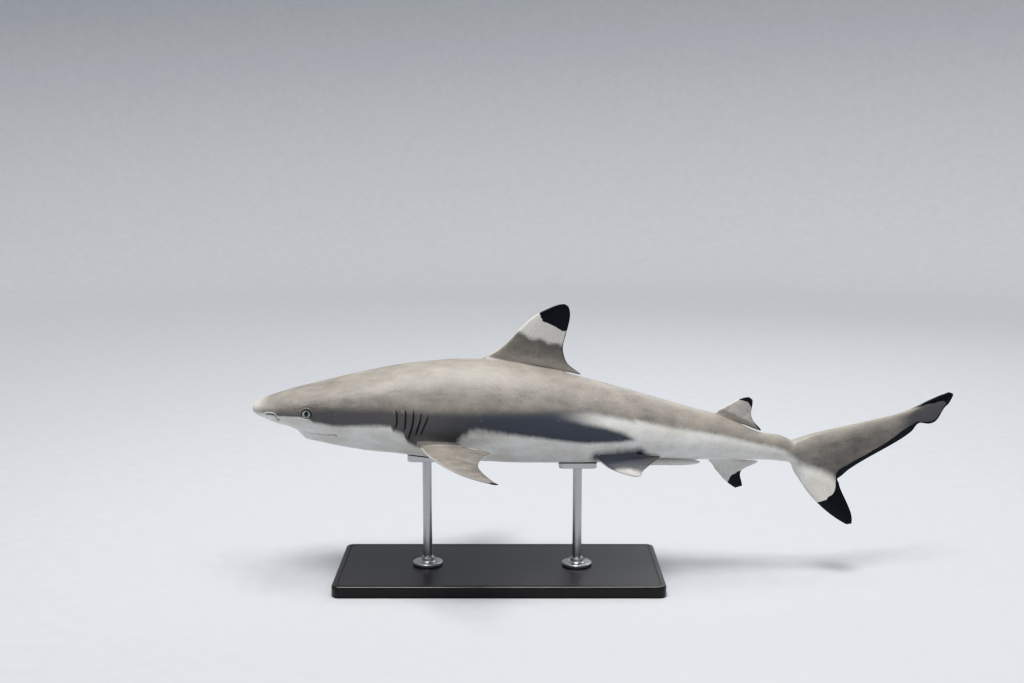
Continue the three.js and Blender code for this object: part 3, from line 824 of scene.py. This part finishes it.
def markingsOf(point, normal, chord, span):  # chord and span say where on a fin a point lies
    along, rise, away = point.x, point.z, abs(point.y)
    overBack = rise - bodyLine["back"](along)
    underBack = markLine["backEdge"](along) - rise
    soft = markLine["softness"](along)
    # painted light: lighter along the top of the back, then random lighter and darker patches
    height, amount = tones["litRidge"]
    tone = amount * smoothStep(-height, 0, overBack)
    for rate, amount in tones["noise"]:
        tone += amount * noise.noise(point * rate)
    tongue = (marks["tongueEnd"] - along) / marks["tongueSoft"]
    dark = max(min((rise - markLine["lowerEdge"](along)) / soft, tongue), -underBack / soft)
    found = {
        "dark": dark, "streak": marks["outside"], "shade": underBack,
        "black": blackness(point, normal), "pale": marks["outside"], "tone": tone,
    }
    if within("streak", along):
        found["streak"] = min(underBack, rise - markLine["tongueTop"](along))
    fin = tones["pectoral"]
    offBody = away > bodyLine["halfWidth"](along) + fin["out"] and rise < fin["below"]
    if within("pectoral", along) and (offBody or span > fin["span"]):
        found["dark"] = (normal.z - fin["facing"]) * fin["contrast"]
        found["shade"] = fin["shade"]
        found["tone"] -= fin["tone"] + fin["rearTone"] * smoothStep(*fin["rear"], chord)
    fin = tones["anal"]
    if within("anal", along) and bodyLine["belly"](along) - rise > marks["root"]["anal"]:
        found["dark"] = fin["dark"] + fin["tipDark"] * smoothStep(*fin["tip"], span)
    fin = tones["pelvic"]
    if within("pelvic", along) and rise < fin["below"] and away > fin["out"]:
        found.update(pelvicMarks(point, normal, found))
    fin = tones["firstDorsal"]
    if within("firstDorsal", along) and overBack > marks["root"]["fin"]:
        # painted shade on the fin's side
        found["tone"] -= fin["tone"] * smoothStep(0, fin["upTo"], overBack) * smoothStep(*fin["from"], along)
        band = markLine["dorsalTip"](along) - rise + fin["band"]
        found["pale"] = min(rise - markLine["dorsalBand"](along), band)
    if within("secondDorsal", along) and overBack > marks["root"]["fin"]:
        found["pale"] = min(0, overBack - tones["secondDorsal"]["paleFrom"])
    # painted shade on the tail: darker below its upper edge, and the flank's shaded grey on the lower part of
    # the upper lobe and on the tip
    tail = tones["tail"]
    if along > tail["from"]:
        tone, lower, upper = [
            amount * smoothStep(*depths, -overBack) * smoothStep(*reach, along)
            for amount, depths, reach in (tail["tone"], tail["lower"], tail["upper"])
        ]
        found["tone"] -= tone
        found["shade"] = max(min(found["shade"], lower + tail["shade"]), upper + tail["shade"])
    return found


def dressSkin(piece):  # presses in the details, stores the markings, and bends the animal into its pose
    shape = bmesh.new()
    shape.from_mesh(piece.data)
    for close in (False, True):
        addDetail(shape, close)
    shape.normal_update()
    print("skin refined at the head:", sum(len(face.verts) - 2 for face in shape.faces), "triangles")
    layers = shape.verts.layers
    names = ("dark", "streak", "shade", "black", "pale", "tone", "hollow")
    values = {name: layers.float.new(name) for name in names}
    straight = layers.float_vector.new("straight")
    chord, span = layers.float["chord"], layers.float["span"]
    for vert in shape.verts:
        point, normal = vert.co.copy(), vert.normal.copy()
        for name, value in markingsOf(point, normal, vert[chord], vert[span]).items():
            vert[values[name]] = value
        # the head's painted shade in grooves and pits, and painted light on the nostril's flap
        lift, vert[values["hollow"]] = headDetail(point)
        vert[straight] = point * millimetre
        point += normal * (lift + slackness(point))
        point.x = min(body["length"] - body["endGap"], max(body["endGap"], point.x))
        vert.co = bent(point)
    shadeSmooth(shape)
    shape.to_mesh(piece.data)
    shape.free()


dressSkin(skin)
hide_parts(*[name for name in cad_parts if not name.startswith(("eye", "stand"))])
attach(skin, "root")
print("skin dressed:", len(skin.data.vertices), "points")


class Value:  # a socket that can be used in sums with numbers and other sockets
    def __init__(self, finish, socket):
        self.finish = finish
        self.socket = socket

    def maths(self, operation, *values):
        return self.finish.add("Math", {"operation": operation}, dict(enumerate(values)))

    def __add__(self, other):
        return self.maths("ADD", self, other)

    def __radd__(self, other):
        return self.maths("ADD", other, self)

    def __sub__(self, other):
        return self.maths("SUBTRACT", self, other)

    def __rsub__(self, other):
        return self.maths("SUBTRACT", other, self)

    def __mul__(self, other):
        return self.maths("MULTIPLY", self, other)

    def __rmul__(self, other):
        return self.maths("MULTIPLY", other, self)

    def __truediv__(self, other):
        return self.maths("DIVIDE", self, other)

    def __pow__(self, other):
        return self.maths("POWER", self, other)


class Finish:  # a material and the nodes that feed its shader
    def __init__(self, name, **fixed):
        self.material = bpy.data.materials.new(name)
        self.material.use_nodes = True
        self.tree = self.material.node_tree
        self.shader = self.tree.nodes["Principled BSDF"]
        self.dress(**fixed)

    def feed(self, socket, value):
        if isinstance(value, Value):
            self.tree.links.new(value.socket, socket)
        else:
            socket.default_value = value

    def dress(self, **inputs):
        for socket, value in inputs.items():
            self.feed(self.shader.inputs[socket.replace("_", " ")], value)

    def add(self, kind, settings=None, inputs=None, output=0):
        node = self.tree.nodes.new("ShaderNode" + kind)
        for name, value in (settings or {}).items():
            setattr(node, name, value)
        for name, value in (inputs or {}).items():
            self.feed(node.inputs[name], value)
        return Value(self, node.outputs[output])

    def attribute(self, name, output="Fac"):
        return self.add("Attribute", {"attribute_name": name}, output=output)

    def objectPlace(self):
        return self.add("TexCoord", output="Object")

    def other(self, value, output):  # another output of the node that a value comes from
        return Value(self, value.socket.node.outputs[output])

    def rayPlace(self, chord, span):  # so stretched that noise in it makes fine rays from root to edge
        return self.add("CombineXYZ", inputs={0: chord * 55, 1: span * 1.6})

    def part(self, vector, axis):
        return self.add("SeparateXYZ", inputs={0: vector}, output=axis)

    def stretched(self, vector, scale):
        return self.add("Mapping", inputs={"Vector": vector, "Scale": scale})

    def grain(self, vector, scale, detail=2, roughness=0.5):  # noise from about -0.5 to 0.5
        inputs = {"Vector": vector, "Scale": scale, "Detail": detail, "Roughness": roughness}
        return self.add("TexNoise", inputs=inputs) - 0.5

    def cells(self, vector, scale):
        return self.add("TexVoronoi", inputs={"Vector": vector, "Scale": scale}, output="Distance")

    def rise(self, value, low, high):  # 0 below low, 1 above high, smooth between
        inputs = {"Value": value, "From Min": low, "From Max": high}
        return self.add("MapRange", {"interpolation_type": "SMOOTHSTEP"}, inputs)

    def blend(self, factor, first, second):
        settings = {"data_type": "RGBA", "clamp_factor": True}
        return self.add("Mix", settings, {0: factor, 6: first, 7: second}, output=2)

    def bump(self, height, distance, strength):
        return self.add("Bump", inputs={"Height": height, "Distance": distance, "Strength": strength})


def paint(red, green, blue):  # a colour as a painter's 0 to 255 numbers
    def linear(level):
        level /= 255
        return level / 12.92 if level <= 0.04045 else ((level + 0.055) / 1.055) ** 2.4

    return (linear(red), linear(green), linear(blue), 1)


skinColours = {
    # the flank colour is painted shade, used below the line where light from above stops
    "back": paint(153, 147, 139), "backDark": paint(96, 93, 90), "shadedFlank": paint(78, 78, 80),
    # the tongue colour is the flank's dark marking, made darker still with painted shade
    "shadedTongue": paint(70, 74, 82), "belly": paint(226, 227, 225), "bellyWarm": paint(206, 203, 197),
    "pale": paint(205, 203, 198), "snout": paint(208, 205, 198), "black": paint(17, 18, 22),
    # the hollow colour is painted shade in the head's grooves and pits
    "hollow": paint(30, 26, 26), "pore": paint(72, 68, 66), "fleck": paint(214, 212, 206),
    "hide": paint(92, 88, 84),
}
skinPattern = {
    # scale, detail and roughness of the noise
    "edge": (95, 3, 0.68), "mottle": (62, 2, 0.62), "speckle": (420, 2, 0.6),
    "fringe": (380, 45, 45), "spots": 250, "denticles": 1000, "bump": (0.00022, 0.6),
    # where along the body a marking fades in or out, in metres behind the snout
    "tongueStart": (0.28, 0.44), "tongueEnd": (0.655, 0.7), "streakStart": (0.51, 0.62),
    "snout": (0.004, 0.034), "pores": (0.075, 0.12),
}


def sharkFinish():
    colours, pattern = skinColours, skinPattern
    finish = Finish("shark_skin_paint", Coat_Weight=0.1, Coat_Roughness=0.32)
    place = finish.attribute("straight", "Vector")
    along = finish.part(place, "X")
    edge = finish.grain(place, *pattern["edge"])  # one noise for the ragged edges of all marks
    fringe = finish.grain(finish.stretched(place, pattern["fringe"]), 1, 1)
    mottle = finish.grain(finish.stretched(place, (0.5, 1, 1)), *pattern["mottle"])
    speckle = finish.grain(place, *pattern["speckle"])
    tone = finish.attribute("tone")
    shade = finish.attribute("shade") + edge * 5
    hollow = finish.attribute("hollow")
    chord, span = finish.attribute("chord"), finish.attribute("span")
    spots = finish.cells(place, pattern["spots"])
    chance = finish.part(finish.other(spots, "Color"), "X")

    # tone brings random lighter and darker patches, painted light along the top of the back, and painted
    # shade on the first dorsal fin and the tail
    depth = finish.rise(tone * 0.34 + mottle * 0.7 + speckle * 0.75, -0.55, 0.4)
    back = finish.blend(depth, colours["backDark"], colours["back"])
    # painted shade: below that line the back's colour turns to the flank's darker grey
    back = finish.blend(finish.rise(shade, -9, 9) * 0.85, back, colours["shadedFlank"])
    # the dark tongue marking on the flank, with painted shade darkening it further
    tongue = finish.rise(shade, -3, 14) * finish.rise(along, *pattern["tongueStart"])
    tongue = tongue * (1 - finish.rise(along, *pattern["tongueEnd"]))
    back = finish.blend(tongue, back, colours["shadedTongue"])
    warmth = finish.rise(tone + mottle * 1.6, -0.5, 0.7)
    belly = finish.blend(warmth, colours["bellyWarm"], colours["belly"])
    dark = finish.rise(finish.attribute("dark") + edge * 2.2 + fringe * 0.9, -2.4, 2.4)
    colour = finish.blend(dark, belly, back)
    streak = finish.rise(finish.attribute("streak") + edge * 4, -4, 9)
    colour = finish.blend(streak * finish.rise(along, *pattern["streakStart"]), colour, belly)

    pale = finish.rise(finish.attribute("pale") + edge * 9 + speckle * 5, -5, 5)
    # the snout's tip turns pale: partly its own paler colour, partly painted light from above
    snout = 1 - finish.rise(along + edge * 0.005, *pattern["snout"])
    rays = finish.grain(finish.rayPlace(chord, span), 1) * finish.rise(span, 0.12, 0.4)
    black = finish.rise(finish.attribute("black") + edge * 4.5, -0.8, 0.8)
    pores = (1 - finish.rise(spots, 0.12, 0.2)) * finish.rise(chance, 0.66, 0.7)
    pores = pores * (1 - finish.rise(along, *pattern["pores"]))
    flecks = (1 - finish.rise(spots, 0.1, 0.2)) * finish.rise(chance, 0.988, 0.99)
    rim = (1 - finish.rise(chord, 0.012, 0.035)) * finish.rise(span, 0.08, 0.2) * (1 - black)
    for mask, name in (  # from the lowest coat to the top one
        (pale * 0.9, "pale"),
        (snout * 0.85, "snout"),
        (finish.rise(rays, 0, 0.3) * 0.6, "hide"),
        (black, "black"),
        (pores * 0.6, "pore"),
        (flecks * 0.6, "fleck"),
        (finish.rise(speckle, 0.02, 0.3) * 0.28, "hide"),
        (rim * 0.6, "snout"),
        # painted shade in the head's grooves and pits, then painted light on the nostril's flap
        (finish.rise(hollow, 0.3, 1), "hollow"),
        (finish.rise(hollow, -0.2, -0.9) * 0.9, "belly"),
    ):
        colour = finish.blend(mask, colour, colours[name])

    denticles = finish.cells(finish.stretched(place, (0.6, 1, 1)), pattern["denticles"])
    height = denticles + mottle * 2.2 + rays * 1.6
    finish.dress(
        Base_Color=colour,
        Roughness=0.47 + mottle * 0.16 + speckle * 0.12 - black * 0.1,
        Normal=finish.bump(height, *pattern["bump"]),
    )
    return finish.material


skin.data.materials.clear()
skin.data.materials.append(sharkFinish())
print("skin painted")

eyeLook = {
    "iris": paint(188, 194, 188), "irisRim": paint(112, 118, 114), "pupil": paint(4, 5, 6),
    "ring": paint(24, 26, 28),
    # sizes as shares of the ball's radius
    "pupilWidth": 0.34, "pupilHeight": 0.47, "darkening": (0.6, 0.82), "irisEdge": (0.8, 0.86),
    "fullness": (2.5, 2.2), "around": 48, "rings": 32,
}


def eyeFinish():
    look = eyeLook
    finish = Finish("eye_glass", Coat_Weight=1.0, Coat_Roughness=0.03, Roughness=0.18)
    place = finish.attribute("iris", "Vector")
    x, z = finish.part(place, "X"), finish.part(place, "Z")
    radius = (x * x + z * z) ** 0.5
    fibres = finish.grain(finish.add("VectorMath", {"operation": "NORMALIZE"}, {0: place}), 9, 3)
    grain = finish.grain(place, 14, 3)
    iris = finish.blend(finish.rise(fibres + grain, -0.25, 0.3), look["irisRim"], look["iris"])
    iris = finish.blend(finish.rise(radius, *look["darkening"]), iris, look["irisRim"])
    slit = ((x / look["pupilWidth"]) ** 2 + (z / look["pupilHeight"]) ** 2) ** 0.5
    eye = finish.blend(finish.rise(slit, 0.94, 1.06), look["pupil"], iris)
    eye = finish.blend(finish.rise(radius, *look["irisEdge"]), eye, look["ring"])
    finish.dress(Base_Color=eye)
    return finish.material


def makeEye(side, paintwork):
    eye = head["eye"]
    shape = bmesh.new()
    bmesh.ops.create_uvsphere(shape, u_segments=eyeLook["around"], v_segments=eyeLook["rings"], radius=1)
    iris = shape.verts.layers.float_vector.new("iris")
    along, out, rise = eye["centre"]
    centre = bent(Vector((along, side * out, rise)))
    edgeOn, deep = eyeLook["fullness"]
    for vert in shape.verts:  # the pole of the ball turns outwards, and its front is fuller than a ball's
        across, up, outwards = vert.co
        vert[iris] = (across, outwards, up)
        if outwards > 0:
            outwards = (1 - min(1, math.hypot(across, up)) ** edgeOn) ** (1 / deep)
        depth = side * outwards * eye["flatness"]
        vert.co = centre + Vector((across * eye["stretch"], depth, up)) * eye["radius"] * millimetre
    bmesh.ops.recalc_face_normals(shape, faces=shape.faces)
    shadeSmooth(shape)
    word = "right" if side > 0 else "left"
    ball = meshObject("eyeball_" + word, shape)
    ball.data.materials.append(paintwork)
    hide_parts("eye_" + word)
    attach(ball, "root")


paintedEye = eyeFinish()
for side in (-1, 1):
    makeEye(side, paintedEye)
print("eyes set")

stand = {
    "base": {
        "length": 560, "width": 250, "height": 20, "corner": 14, "bevel": 3, "along": 425, "line": 9,
        "lineSteps": ((0.42, -0.8), (0.56, 0), (0.42, 0.8)),  # the line cut in its top, as (width, drop)
    },
    "rod": {"front": 300, "rear": 560, "radius": 8, "edge": 0.6, "sides": 64},
    "foot": {
        "radius": 26, "height": 6, "edge": 0.4, "chamfer": 2, "cove": 3,
        "waist": 11, "waistHeight": 14, "waistEdge": 1, "collar": 0.9, "collarHeight": 1.4,
    },
    "screw": {
        "count": 4, "circle": 18.5, "radius": 3.1, "taper": 0.72, "height": 1.3, "sunk": 0.03, "sides": 24,
        "rim": 0.22, "socketSlope": 0.12, "socketDepth": 0.9,
    },
    "saddle": {
        "length": 66, "width": 44, "height": 13, "corner": 10, "edge": 1, "sunk": 5, "slices": (16, 10),
        "pad": 1.6, "press": 0.2,
    },
    "seam": 0.3,
    "sharpFrom": 32,  # edges steeper than this many degrees are drawn sharp
}
standColours = {
    "lacquer": paint(24, 22, 20), "lacquerGrain": paint(33, 30, 28), "dust": paint(120, 118, 114),
    "steel": paint(168, 170, 172), "brightSteel": paint(196, 197, 198),
    "rubber": paint(26, 26, 27), "rubberGrain": paint(44, 44, 45),
}


def place(shape, moved=(0, 0, 0), scaled=None):
    if scaled:
        bmesh.ops.scale(shape, vec=scaled, verts=shape.verts)
    bmesh.ops.translate(shape, vec=moved, verts=shape.verts)


def onMiddleLine(along, height):  # a spot under the animal's spine
    return Vector((along - body["length"] / 2, bodyLine["spine"](along), height))


def roundEdges(shape, edges, offset, segments):
    bmesh.ops.bevel(
        shape, geom=edges, offset=offset, segments=segments, profile=0.5, affect="EDGES", material=-1,
    )


def roundedBlock(sizes):
    shape = bmesh.new()
    bmesh.ops.create_cube(shape, size=1)
    place(shape, scaled=(sizes["length"], sizes["width"], sizes["height"]))
    upright = [edge for edge in shape.edges if edge.verts[0].co.z * edge.verts[1].co.z < 0]
    roundEdges(shape, upright, sizes["corner"], 8)
    return shape


def finishPiece(name, shape, node, slot, *paintwork):
    place(shape, scaled=(millimetre,) * 3)
    bmesh.ops.recalc_face_normals(shape, faces=shape.faces)
    shadeSmooth(shape)
    piece = meshObject(name, shape)
    for material in paintwork:
        piece.data.materials.append(material)
    piece.data.set_sharp_from_angle(angle=math.radians(stand["sharpFrom"]))
    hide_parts(node)
    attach(piece, "root")


def lacquer():
    finish = Finish("black_lacquer", Coat_Weight=0.35, Coat_Roughness=0.22)
    where = finish.objectPlace()
    grain = finish.grain(finish.stretched(where, (6, 60, 60)), 8, 5, 0.6)
    orangePeel = finish.grain(where, 260)
    dust = finish.rise(finish.grain(where, 1500, 1), 0.2, 0.3)
    wood = finish.blend(finish.rise(grain, -0.3, 0.3), standColours["lacquer"], standColours["lacquerGrain"])
    finish.dress(
        Base_Color=finish.blend(dust * 0.12, wood, standColours["dust"]),
        Roughness=0.42 + grain * 0.1 + dust * 0.2,
        Normal=finish.bump(grain * 0.6 + orangePeel * 0.25, 0.0002, 0.5),
    )
    return finish.material


def steel(name, direction):
    finish = Finish(name, Metallic=1.0)
    where = finish.objectPlace()
    brushing = finish.grain(finish.stretched(where, direction), 30, 4, 0.7)
    smears = finish.grain(where, 25, 3)
    bright = finish.rise(brushing, -0.4, 0.4)
    finish.dress(
        Base_Color=finish.blend(bright, standColours["steel"], standColours["brightSteel"]),
        Roughness=0.3 + brushing * 0.16 + smears * 0.1,
        Normal=finish.bump(brushing, 0.00006, 0.5),
    )
    return finish.material


def rubber():
    finish = Finish("saddle_rubber")
    grain = finish.grain(finish.objectPlace(), 900, 3)
    worn = finish.rise(grain, -0.3, 0.3)
    finish.dress(
        Base_Color=finish.blend(worn, standColours["rubber"], standColours["rubberGrain"]),
        Roughness=0.75 + grain * 0.1,
        Normal=finish.bump(grain, 0.0001, 0.6),
    )
    return finish.material


def makeBase():
    base = stand["base"]
    shape = roundedBlock(base)
    top, bottom = [[face for face in shape.faces if face.normal.z * way > 0.9][0] for way in (1, -1)]
    roundEdges(shape, [edge for face in (top, bottom) for edge in face.edges], base["bevel"], 4)
    top = max(shape.faces, key=lambda face: face.calc_center_median().z)
    bmesh.ops.inset_region(shape, faces=[top], thickness=base["line"] - base["bevel"], use_even_offset=True)
    for width, drop in base["lineSteps"]:
        bmesh.ops.inset_region(shape, faces=[top], thickness=width, depth=drop)
    place(shape, (base["along"] - body["length"] / 2, 0, base["height"] / 2))
    finishPiece("display_base", shape, "stand_base", "base", lacquer())


def saddleFoot(along):
    saddle = stand["saddle"]
    return bodyLine["belly"](along) + body["snoutHeight"] + saddle["sunk"] - saddle["height"]


def arc(centre, radius, start, end, steps):  # points round a centre, with angles in degrees
    turns = [math.radians(start + (end - start) * i / steps) for i in range(steps + 1)]
    return [(centre[0] + radius * math.cos(turn), centre[1] + radius * math.sin(turn)) for turn in turns]


def rodOutline(word):  # half the rod and its foot, as (radius, height) from the middle round to the middle
    rod, foot = stand["rod"], stand["foot"]
    low = stand["base"]["height"] + stand["seam"]
    flange, waistTop = low + foot["height"], low + foot["waistHeight"]
    top = saddleFoot(rod[word]) - stand["seam"]
    collar, collarTop = rod["radius"] + foot["collar"], waistTop + foot["collarHeight"]
    chamfer, cove, waistEdge = foot["chamfer"], foot["cove"], foot["waistEdge"]
    return [
        (0, low), (foot["radius"] - foot["edge"], low), (foot["radius"], low + foot["edge"]),
        *arc((foot["radius"] - chamfer, flange - chamfer), chamfer, 0, 90, 5),
        *arc((foot["waist"] + cove, flange + cove), cove, 270, 180, 5),
        *arc((foot["waist"] - waistEdge, waistTop - waistEdge), waistEdge, 0, 90, 3),
        (collar, waistTop), (collar, collarTop), (rod["radius"], collarTop + foot["edge"]),
        (rod["radius"], top - rod["edge"]), (rod["radius"] - rod["edge"], top), (0, top),
    ]


def addScrew(shape, turn):  # a low round head with a socket in it
    screw = stand["screw"]
    radius = screw["radius"]
    made = bmesh.ops.create_cone(
        shape, cap_ends=True, segments=screw["sides"], radius1=radius, radius2=radius * screw["taper"],
        depth=screw["height"],
    )["verts"]
    flange = stand["base"]["height"] + stand["seam"] + stand["foot"]["height"]
    height = flange + screw["height"] / 2 - screw["sunk"]
    at = Vector((math.cos(turn), math.sin(turn), 0)) * screw["circle"] + Vector((0, 0, height))
    bmesh.ops.translate(shape, vec=at, verts=made)
    faces = {face for vert in made for face in vert.link_faces}
    top = max(faces, key=lambda face: face.calc_center_median().z)
    bmesh.ops.inset_region(shape, faces=[top], thickness=radius * screw["rim"])
    bmesh.ops.inset_region(shape, faces=[top], thickness=screw["socketSlope"], depth=-screw["socketDepth"])


def makeRod(word, steelwork):
    rod, screws = stand["rod"], stand["screw"]["count"]
    shape = bmesh.new()
    points = [shape.verts.new((radius, 0, height)) for radius, height in rodOutline(word)]
    edges = [shape.edges.new(pair) for pair in zip(points, points[1:])]
    bmesh.ops.spin(
        shape, geom=points + edges, cent=(0, 0, 0), axis=(0, 0, 1), angle=math.tau, steps=rod["sides"],
        use_merge=True,
    )
    bmesh.ops.remove_doubles(shape, verts=shape.verts, dist=0.01)
    for i in range(screws):
        addScrew(shape, math.tau * (i + 0.5) / screws)
    place(shape, onMiddleLine(rod[word], 0))
    finishPiece("display_rod_" + word, shape, "stand_rod_" + word, "rod", steelwork)


def makeSaddle(word, steelwork, padding):
    saddle = stand["saddle"]
    along = stand["rod"][word]
    shape = roundedBlock(saddle)
    place(shape, onMiddleLine(along, saddleFoot(along) + saddle["height"] / 2))
    rim = [edge for face in shape.faces if face.normal.z < -0.9 for edge in face.edges]
    roundEdges(shape, rim, saddle["edge"], 3)
    sides = ((1, 0, 0), saddle["length"]), ((0, 1, 0), saddle["width"])
    for (axis, size), count in zip(sides, saddle["slices"]):
        for i in range(1, count):
            cut = onMiddleLine(along, 0) + Vector(axis) * size * (i / count - 0.5)
            everything = shape.verts[:] + shape.edges[:] + shape.faces[:]
            bmesh.ops.bisect_plane(shape, geom=everything, plane_co=cut, plane_no=axis)
    crown = [face for face in shape.faces if face.normal.z > 0.9]
    for vert in {vert for face in crown for vert in face.verts}:  # the crown takes the belly's form
        reach = vert.co.x + body["length"] / 2
        under = undersidePoint(reach, vert.co.y - bodyLine["spine"](reach))
        vert.co.z = under.z + body["snoutHeight"] - saddle["pad"]
    _, lifted = drawOut(shape, crown)
    bmesh.ops.translate(shape, vec=(0, 0, saddle["pad"] + saddle["press"]), verts=lifted)
    for face in {face for vert in lifted for face in vert.link_faces}:
        face.material_index = 1
    finishPiece("display_saddle_" + word, shape, "stand_saddle_" + word, "rod", steelwork, padding)


makeBase()
rodSteel = steel("rod_steel", (40, 40, 0.6))
saddleSteel = steel("saddle_steel", (0.8, 40, 40))
padding = rubber()
for word in ("front", "rear"):
    makeRod(word, rodSteel)
    makeSaddle(word, saddleSteel, padding)
print("stand made")

studio = {
    "floorRadius": 4.5, "cove": 1.6, "wall": 0.8, "sides": 128,
    "sun": {"strength": 2.35, "angle": 24, "from": (-0.17, -0.32, 1), "colour": (1, 0.975, 0.94)},
    "lights": {  # name: (place, aimed at, size, size, watts, colour)
        "topLight": ((-0.15, -0.1, 2.3), (0, 0, 0.3), 1.9, 0.8, 40, (1, 0.98, 0.95)),
        "rearRim": ((0.9, 2.3, 1.9), (0.1, 0, 0.35), 1.4, 1.0, 14, (0.95, 0.97, 1)),
    },
    "sky": (0.78, 0.81, 0.86, 1), "skyStrength": 0.54,
    "paper": (186, 189, 193), "paperFleck": (180, 183, 188),
}


def makeFloor():
    shape = bmesh.new()
    radius, cove = studio["floorRadius"], studio["cove"]
    bmesh.ops.create_circle(shape, cap_ends=True, segments=studio["sides"], radius=radius)
    edges = [edge for edge in shape.edges if edge.is_boundary]
    profile = arc((radius, cove), cove, -90, 0, 10)[1:]
    profile.append((radius + cove, cove + studio["wall"]))
    for reach, height in profile:
        ring, edges = nextRing(shape, edges)
        for vert in ring:
            vert.co = Vector((vert.co.x, vert.co.y, 0)).normalized() * reach + Vector((0, 0, height))
    for face in shape.faces:
        face.smooth = len(face.verts) == 4
        if face.normal.z < 0:
            face.normal_flip()
    floor = meshObject("studio_floor", shape)
    finish = Finish("floor_paper", Roughness=0.85)
    fibres = finish.grain(finish.objectPlace(), 30, 0) + 0.5
    finish.dress(Base_Color=finish.blend(fibres, paint(*studio["paper"]), paint(*studio["paperFleck"])))
    floor.data.materials.append(finish.material)


def hangLamp(name, kind, strength, colour, towards):
    lamp = addObject(name, bpy.data.lights.new(name, kind))
    lamp.data.energy = strength
    lamp.data.color = colour
    lamp.rotation_euler = towards.to_track_quat("-Z", "Y").to_euler()
    return lamp


def makeLights():
    for name, (spot, target, width, depth, watts, colour) in studio["lights"].items():
        lamp = hangLamp(name, "AREA", watts, colour, Vector(target) - Vector(spot))
        lamp.location = spot
        lamp.data.shape = "RECTANGLE"
        lamp.data.size = width
        lamp.data.size_y = depth
    sun = studio["sun"]
    lamp = hangLamp("sun", "SUN", sun["strength"], sun["colour"], -Vector(sun["from"]))
    lamp.data.angle = math.radians(sun["angle"])
    world = bpy.data.worlds.new("studio_air")
    world.use_nodes = True
    background = world.node_tree.nodes["Background"]
    background.inputs["Color"].default_value = studio["sky"]
    background.inputs["Strength"].default_value = studio["skyStrength"]
    bpy.context.scene.world = world


makeFloor()
makeLights()
bpy.context.scene.view_settings.view_transform = "Khronos PBR Neutral"
print("studio lit")
